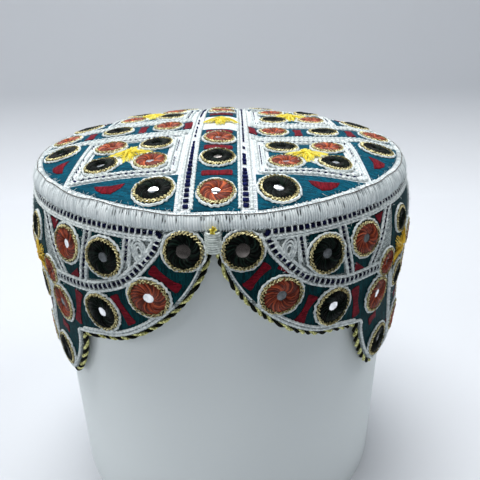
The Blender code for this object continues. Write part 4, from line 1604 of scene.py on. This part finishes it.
# Crimson figures of the band: bones of satin stitch between the medallions, small wedges
# in the upper fields, and on the hidden back the same bones in even steps.
BAND_FIGURE_HEIGHT = 0.00052
BAND_BONES = (
    # side, start and end in degrees and metres below the rim, half widths of ends and waist
    (1, 7.0, -0.0277, 12.2, -0.0190, 0.0024, 0.0013),
    (-1, 7.8, -0.0280, 14.6, -0.0206, 0.0026, 0.0013),
    (1, 14.6, -0.0205, 17.4, -0.0232, 0.0011, 0.0009),
    (1, 20.0, -0.0468, 23.8, -0.0362, 0.0030, 0.0013),
    (-1, 20.8, -0.0460, 25.2, -0.0345, 0.0026, 0.0013),
    (1, 37.0, -0.0393, 38.4, -0.0545, 0.0027, 0.0015),
    (-1, 37.6, -0.0382, 40.6, -0.0548, 0.0026, 0.0013),
    (1, 45.0, -0.0625, 48.6, -0.0610, 0.0021, 0.0018),
    (-1, 47.6, -0.0640, 51.6, -0.0625, 0.0019, 0.0016),
    (1, 59.0, -0.0725, 61.4, -0.0790, 0.0018, 0.0014),
    (-1, 59.0, -0.0725, 61.4, -0.0790, 0.0018, 0.0014),
)
WEDGES = (
    ((44.0, -0.0104), (48.0, -0.0104), (45.8, -0.0150)),
    ((35.7, -0.0312), (36.2, -0.0272), (39.4, -0.0316)),
)
BACK_BONE_TURNS = (66.0, 81.0, 95.0, 110.0, 124.0, 139.0, 154.0, 168.0)
BACK_BONE_HEIGHT = -0.0640
BACK_BONE_LENGTH_HALF = 0.0035
BACK_BONE_HALVES = (0.0020, 0.0013)

band_red = []
for side, start_turn, start_y, end_turn, end_y, end_half, waist_half in BAND_BONES:
    ends = ((side * wall_run(start_turn), start_y), (side * wall_run(end_turn), end_y))
    band_red.append(bone(*ends, end_half, waist_half))
for points in WEDGES:
    band_red += four_patches(points)
for degrees in BACK_BONE_TURNS:
    for side in (-1, 1):
        x = side * wall_run(degrees)
        ends = [(x + reach, BACK_BONE_HEIGHT) for reach in (-BACK_BONE_LENGTH_HALF, BACK_BONE_LENGTH_HALF)]
        band_red.append(bone(*ends, *BACK_BONE_HALVES))
red_deep = stitched_look(
    "deep_crimson_satin_stitch", REDS, RED_GAP_PAINTED_SHADE, RED_STITCH, turned=0.0, roughness=0.5, relief=0.7
)
band_figures = cut_patches(band_red, BAND_FIGURE_HEIGHT)
sew(band_figures, on_band, "band_crimson_figures", red_deep, "red_thread")


# Mirror medallions of the band, made as those of the crown. Some of the old mirrors are
# bright, and the others have dull glass: partly tarnish, partly painted shade for mirrors
# that catch no bright reflection.
BAND_LIFT = 0.0002
BAND_MEDALLIONS = (
    # name, degrees from the front, height, radius, bright mirror on the left, on the right
    ("front", 6.65, -0.0124, 0.0086, False, False),
    ("upper_dark", 27.0, -0.0189, 0.0091, False, False),
    ("upper_orange", 39.6, -0.0180, 0.0088, True, False),
    ("lobe_orange", 15.4, -0.0326, 0.0091, True, False),
    ("lobe_dark", 29.6, -0.0436, 0.0093, True, True),
    ("panel_orange", 46.8, -0.0490, 0.0091, False, True),
    ("panel_dark", 51.5, -0.0770, 0.0088, False, False),
    ("back", 173.35, -0.0124, 0.0086, False, True),
)
HIDDEN_MEDALLIONS = (
    # colour, degrees from the front, height
    ("orange", 140.4, -0.0180), ("dark", 153.0, -0.0189),
    ("orange", 74.6, -0.0520), ("orange", 105.4, -0.0520), ("orange", 134.0, -0.0480),
    ("dark", 147.5, -0.0480), ("orange", 161.0, -0.0480), ("dark", 173.6, -0.0480),
    ("orange", 66.0, -0.0770), ("dark", 80.5, -0.0770), ("orange", 95.0, -0.0770),
    ("dark", 109.5, -0.0770), ("orange", 124.0, -0.0770), ("dark", 138.5, -0.0770),
    ("orange", 153.0, -0.0770), ("dark", 167.5, -0.0770),
)
HIDDEN_RADIUS = 0.0088
HIDDEN_TIP = 4.0
SIDE_FLOWERS = (59.2, 90.0, 120.8)
SIDE_FLOWER_HEIGHT = -0.0340
SIDE_PETAL_OFFSET = 0.0146
SIDE_PETAL_RADIUS = 0.0070
SIDE_FLOWER_TURN = 0.10
WIDER_EYE = 0.0008
# The band's orange is a darker copy of the crown's orange: painted shade of the band's upright wall.
BAND_ORANGE_THREADS_WITH_PAINTED_SHADE = ((0.020, 0.003, 0.001), (0.15, 0.020, 0.008), (0.50, 0.095, 0.034))
DEEP_STAR_GOLD = ((0.12, 0.050, 0.002), (0.72, 0.42, 0.012), (0.98, 0.76, 0.12))
DULL_AND_SHADED_CLOUD = (500.0, 2.0)
# Dull mirror glass: partly tarnish, partly painted shade for mirrors that catch no bright reflection.
DULL_AND_SHADED_GLASS = ((0.07, 0.08, 0.08), (0.16, 0.17, 0.18))

band_medallions = {"dark": [], "orange": [], "front": []}
band_nodes = {"dark": [], "orange": [], "front": []}
bright_mirrors = []
dull_and_shaded_mirrors = []
for name, degrees, y, radius, bright_left, bright_right in BAND_MEDALLIONS:
    group = "front" if name in ("front", "back") else name.rpartition("_")[2]
    for side, end, bright in ((-1, "left", bright_left), (1, "right", bright_right)):
        spot = (side * wall_run(degrees), y, radius)
        band_medallions[group].append(spot)
        band_nodes[group].append(f"{name}_medallion_{end}")
        if group != "front":
            (bright_mirrors if bright else dull_and_shaded_mirrors).append((*spot, 0.0))
for colour, degrees, y in HIDDEN_MEDALLIONS:
    for side in (-1, 1):
        spot = (side * wall_run(degrees), y, HIDDEN_RADIUS)
        band_medallions[colour].append(spot)
        (bright_mirrors if side > 0 else dull_and_shaded_mirrors).append((*spot, HIDDEN_TIP))
side_stars = []
for degrees in SIDE_FLOWERS:
    for side in (-1, 1):
        middle = side * wall_run(degrees)
        side_stars.append((middle, SIDE_FLOWER_HEIGHT, math.pi / 4))
        for petal in range(4):
            turn = side * SIDE_FLOWER_TURN + math.pi / 2 * petal
            spot = (
                middle + SIDE_PETAL_OFFSET * math.cos(turn),
                SIDE_FLOWER_HEIGHT + SIDE_PETAL_OFFSET * math.sin(turn),
                SIDE_PETAL_RADIUS,
            )
            band_medallions["dark" if petal % 2 else "orange"].append(spot)
            dull_and_shaded_mirrors.append((*spot, 0.0))
deep_orange_silk = laid_look("rust_silk_with_painted_shade", BAND_ORANGE_THREADS_WITH_PAINTED_SHADE, roughness=0.45)
dull_and_shaded_look = mottled_look("dull_and_shaded_mirror", DULL_AND_SHADED_GLASS, DULL_AND_SHADED_CLOUD, roughness=0.22, metallic=0.8)
rng = random.Random(41)
sew(
    wheels(24, band_medallions["front"], BAND_LIFT, rng, WIDER_EYE), on_band,
    "front_dark_wheels", dark_silk, "dark_thread", *band_nodes["front"],
)
# The front mirrors get the darkened glass too: partly tarnish, partly painted shade.
front_mirrors = [(*spot, 0.0) for spot in band_medallions["front"]]
wide_mirrors = mirrors(front_mirrors, BAND_LIFT, rng, MIRROR_RADIUS + WIDER_EYE)
sew(wide_mirrors, on_band, "front_tarnished_and_shaded_mirrors", tarnished_and_shaded_look, "mirror_glass")
sew(
    wheels(21, band_medallions["dark"], BAND_LIFT, rng), on_band,
    "band_dark_wheels", dark_silk, "dark_thread", *band_nodes["dark"],
)
sew(
    wheels(22, band_medallions["orange"], BAND_LIFT, rng), on_band,
    "band_orange_wheels", deep_orange_silk, "orange_thread", *band_nodes["orange"],
)
band_all = band_medallions["dark"] + band_medallions["orange"] + band_medallions["front"]
set_rings(band_all, BAND_LIFT, on_band, "band", rng)
glass = mirrors(bright_mirrors, BAND_LIFT, rng)
sew(glass, on_band, "band_bright_mirrors", mirror_look, "mirror_glass")
glass = mirrors(dull_and_shaded_mirrors, BAND_LIFT, rng)
sew(glass, on_band, "band_dull_and_shaded_mirrors", dull_and_shaded_look, "mirror_glass")
deep_star_gold = laid_look("deep_gold_silk", DEEP_STAR_GOLD, roughness=0.35)
sew(
    couched_stars(star_threads(side_stars, rng), rng), on_band,
    "band_gold_stars", deep_star_gold, "gold_thread", "side_flower_left", "side_flower_right",
)


# White leaf beside each arc: ovals of chain stitch, one inside the other, with stems that
# run down into the point of the field.
LEAF_CENTRE = (17.2, -0.0142)
LEAF_OVALS = (0.0016, 0.0028, 0.0040)
LEAF_TURN = math.radians(62)
LEAF_WIDTH = 0.72
LEAF_LENGTH = 1.35
LEAF_GIRTH = 1.3
LEAF_LEAN = 0.5
LEAF_CORD = (0.00055, 0.00045, 0.0028, 0.00045)
LEAF_STEMS = (
    ((14.6, -0.0105), (15.8, -0.0165), (18.6, -0.0222), (21.6, -0.0245)),
    ((19.6, -0.0108), (19.6, -0.0170), (20.0, -0.0215), (21.2, -0.0235)),
    ((13.9, -0.0102), (15.0, -0.0150), (17.4, -0.0208), (20.4, -0.0248), (23.6, -0.0266)),
)

leaf_lines = []
leaf_ovals = []
leaf_x = wall_run(LEAF_CENTRE[0])
for side in (-1, 1):
    for half in LEAF_OVALS:
        oval = []
        count = round(2 * math.pi * half * LEAF_GIRTH / CORD_STEP)
        for step in range(count):
            turn = 2 * math.pi * step / count
            across = LEAF_WIDTH * half * math.cos(turn)
            up = LEAF_LENGTH * half * math.sin(turn)
            x = across * math.sin(LEAF_TURN) + up * math.cos(LEAF_TURN) * LEAF_LEAN
            y = up * math.sin(LEAF_TURN) - across * math.cos(LEAF_TURN) * LEAF_LEAN
            oval.append((side * (leaf_x + x), LEAF_CENTRE[1] + y))
        leaf_ovals.append(oval)
    for points in LEAF_STEMS:
        leaf_lines.append([(side * x, y) for x, y in wall_path(points, CORD_STEP)])
leaf_rings = couch(leaf_ovals, LEAF_CORD, closed=True)
sew(leaf_rings, on_band, "leaf_ovals", white_cotton, "white_thread")
sew(couch(leaf_lines, LEAF_CORD), on_band, "leaf_stems", white_cotton, "white_thread")


# Hem: a white cord laid along the edge of the cloth, two side by side under each lobe and
# only a thin thread beside the notch, and below it the piping, a yellow green metallic yarn
# and a black one twisted together.
HEM_CORD_INSET = 0.0031
HEM_CORD_START = -0.0330
HEM_CORD = (0.00070, 0.00052, 0.0036, 0.00045)
HEM_THREAD_HALF = 0.00030
HEM_THREAD_LIFT = 0.00045
HEM_THREAD_START = 0.0018
HEM_ROW_GAP = 0.00130
HEM_SECOND_START = -0.0405
PIPING_YARN_HALF = 0.00072
PIPING_HELIX = 0.00062
PIPING_LAY = 0.0072
PIPING_STEP = 0.00055
PIPING_LIFT = -0.0011
PIPING_SLIP = 3.2
PIPING_SLIP_PACE = 0.05
PIPING_SLIP_SHIFT = 3.0
# The two golds drift in small spots: painted glints, and painted shade in the gaps of the yarn.
YARN_GOLDS = ((0.20, 0.20, 0.035), (1.00, 1.00, 0.46))
BLACKS = ((0.002, 0.003, 0.002), (0.008, 0.010, 0.006))

hem_inner = inset(hem_line(), HEM_CORD_INSET)
hem_second = inset(hem_line(), HEM_CORD_INSET + HEM_ROW_GAP)
cusp_end = CUSP_ANGLE * BAND_RADIUS
hem_rows = (
    [(x, y) for x, y in hem_inner if y < HEM_CORD_START],
    [(x, y) for x, y in hem_second if y < HEM_SECOND_START and x < cusp_end],
)
thread_half = [(x, y) for x, y in hem_inner if y > HEM_CORD_START and x > HEM_THREAD_START]
hem_cords = []
hem_threads = []
for side in (-1, 1):
    for row in hem_rows:
        hem_cords.append([(side * x, y) for x, y in along_curve(row, CORD_STEP)])
    hem_threads.append([(side * x, y) for x, y in along_curve(thread_half, CORD_STEP)])
sew(couch(hem_cords, HEM_CORD), on_band, "hem_white_cord", white_cotton, "white_thread")
hem_thread = couch(hem_threads, round_thread(HEM_THREAD_HALF, HEM_THREAD_LIFT))
sew(hem_thread, on_band, "hem_white_thread", white_cotton, "white_thread")
piping_half = along_curve(inset(hem_line(), PIPING_RADIUS), PIPING_STEP)
left_half = [(-x, y) for x, y in reversed(piping_half)]
yarns = ([], [])
for half_line in (piping_half, left_half):
    for index, yarn in enumerate(yarns):
        turns = []
        for step in range(len(half_line)):
            drift = (PIPING_SLIP_PACE * step, PIPING_SLIP_SHIFT * half_line[0][0], 0.0)
            slip = PIPING_SLIP * noise.noise(Vector(drift))
            turns.append(2 * math.pi * step * PIPING_STEP / PIPING_LAY + math.pi * index + slip)
        strand = []
        for spot, side_spot, turn in zip(half_line, beside(half_line, 1.0), turns):
            across = PIPING_HELIX * math.cos(turn)
            x = spot[0] + (side_spot[0] - spot[0]) * across
            y = spot[1] + (side_spot[1] - spot[1]) * across
            strand.append((x, y, PIPING_LIFT + PIPING_HELIX * math.sin(turn)))
        yarn.append(strand)
yarn_gold = metal_look("yellow_green_metallic_yarn", YARN_GOLDS, roughness=0.38)
yarn_black = cord_look("black_yarn", BLACKS, roughness=0.55, relief=0.5)
gold_yarn, black_yarn = (couch(yarn, round_thread(PIPING_YARN_HALF)) for yarn in yarns)
sew(gold_yarn, on_band, "piping_gold_yarn", yarn_gold, "gold_black_piping", "hem_piping")
sew(black_yarn, on_band, "piping_black_yarn", yarn_black, "gold_black_piping")


# Front bar: the two lobes are tied together over the notch by a bar wound closely with
# white thread, and a small tuft of yellow ends stands over it.
BAR_HALF = 0.0027
BAR_TOP = -0.0050
BAR_BOTTOM = -0.0122
BAR_WRAPS = 9
BAR_WRAP_HALF = 0.00047
BAR_WRAP_STEPS = 8
BAR_WRAP_LENGTHS = (0.93, 1.05)
BAR_WRAP_SWAY = 0.00009
BAR_LIFT = 0.0004
BAR_BULGE = 0.0020
BAR_WHITES = ((0.42, 0.47, 0.45), (0.76, 0.83, 0.80))
TUFT = ((-0.0008, -0.0012), (-0.0001, -0.0002), (0.0005, -0.0005), (0.0008, -0.0013))
TUFT_HALF = 0.00034
TUFT_FOOT = (-0.0052, 0.0022)
TUFT_MIDDLE = (-0.0036, 0.0030)
TUFT_TIP = (-0.0012, 0.0038)
TUFT_WAIST = 0.5
TUFT_SPREAD = 1.3
TUFT_LEAN = 0.0004

wraps = []
rng = random.Random(3)
for index in range(BAR_WRAPS):
    y = BAR_TOP + (BAR_BOTTOM - BAR_TOP) * index / (BAR_WRAPS - 1)
    half = BAR_HALF * rng.uniform(*BAR_WRAP_LENGTHS)
    wrap = []
    for step in range(BAR_WRAP_STEPS + 1):
        share = 2 * step / BAR_WRAP_STEPS - 1
        lift = BAR_LIFT + BAR_BULGE * (1 - share ** 4)
        wrap.append((half * share, y + rng.uniform(-BAR_WRAP_SWAY, BAR_WRAP_SWAY), lift))
    wraps.append(wrap)
bar_cotton = cord_look("bar_cotton", BAR_WHITES, roughness=0.8, relief=0.5)
bar_thread = couch(wraps, round_thread(BAR_WRAP_HALF))
sew(bar_thread, on_band, "front_bar_wraps", bar_cotton, "white_thread", "front_bar")
tuft = []
for x, top in TUFT:
    tip = (x * TUFT_SPREAD + TUFT_LEAN, TUFT_TIP[0] + top, TUFT_TIP[1])
    tuft.append([(x, *TUFT_FOOT), (x * TUFT_WAIST, *TUFT_MIDDLE), tip])
tuft_ends = couch(tuft, round_thread(TUFT_HALF), shades=thread_tones(tuft, rng))
sew(tuft_ends, on_band, "front_bar_tuft", star_gold, "gold_thread")


# Fluff: fine ends of cotton that stand off the worn white threads of the crown, the roll
# and the band, and lie across what is worked beside them.
CROWN_FLUFF = 700
BAND_FLUFF = 1100
ROLL_FLUFF = 900
FLUFF_HALF = 0.000045
FLUFF_LENGTH = 0.0016
FLUFF_LENGTHS = (0.5, 1.4)
FLUFF_CURL = 0.5
FLUFF_SHARES = (0.0, 0.5, 1.0)
FLUFF_RISES = (0.6, 1.0)
CROWN_FLUFF_HEIGHTS = (0.0008, 0.0016)
BAND_FLUFF_HEIGHTS = (0.0008, 0.0020)
ROLL_FLUFF_HEIGHTS = (0.0002, 0.0010)
ROLL_FLUFF_AROUND = (-0.2, 1.1)


def stray_ends(spots, low, high, rng):
    """A short curled fibre from each spot, rising from one height to another."""
    ends = []
    for x, y in spots:
        turn = rng.uniform(0.0, 2 * math.pi)
        length = FLUFF_LENGTH * rng.uniform(*FLUFF_LENGTHS)
        curl = rng.uniform(-FLUFF_CURL, FLUFF_CURL)
        end = []
        for share in FLUFF_SHARES:
            way = turn + curl * share
            reach = length * share
            height = low + (high - low) * share * rng.uniform(*FLUFF_RISES)
            end.append((x + reach * math.cos(way), y + reach * math.sin(way), height))
        ends.append(end)
    return ends


def over_roll(x, y, lift):
    """Where a point of the unrolled overcasting lies: along the rim, round the section."""
    return on_roll(x / ROLL_RADIUS, y / ROLL_HALF_WIDTH, 1 + lift / ROLL_HALF_HEIGHT)


rng = random.Random(71)
crown_spots = [rng.choice(rng.choice(crown_lines + crown_loops)) for end in range(CROWN_FLUFF)]
band_spots = [rng.choice(rng.choice(band_lines)) for end in range(BAND_FLUFF)]
roll_spots = []
for end in range(ROLL_FLUFF):
    around_rim = rng.uniform(-math.pi, math.pi) * ROLL_RADIUS
    around_section = rng.uniform(*ROLL_FLUFF_AROUND) * math.pi * ROLL_HALF_WIDTH
    roll_spots.append((around_rim, around_section))
for spots, heights, cloth, name in (
    (crown_spots, CROWN_FLUFF_HEIGHTS, on_crown, "crown_stray_fibres"),
    (band_spots, BAND_FLUFF_HEIGHTS, on_band, "band_stray_fibres"),
    (roll_spots, ROLL_FLUFF_HEIGHTS, over_roll, "roll_stray_fibres"),
):
    fluff = couch(stray_ends(spots, *heights, rng), round_thread(FLUFF_HALF), sides=3)
    sew(fluff, cloth, name, white_cotton, "white_thread")
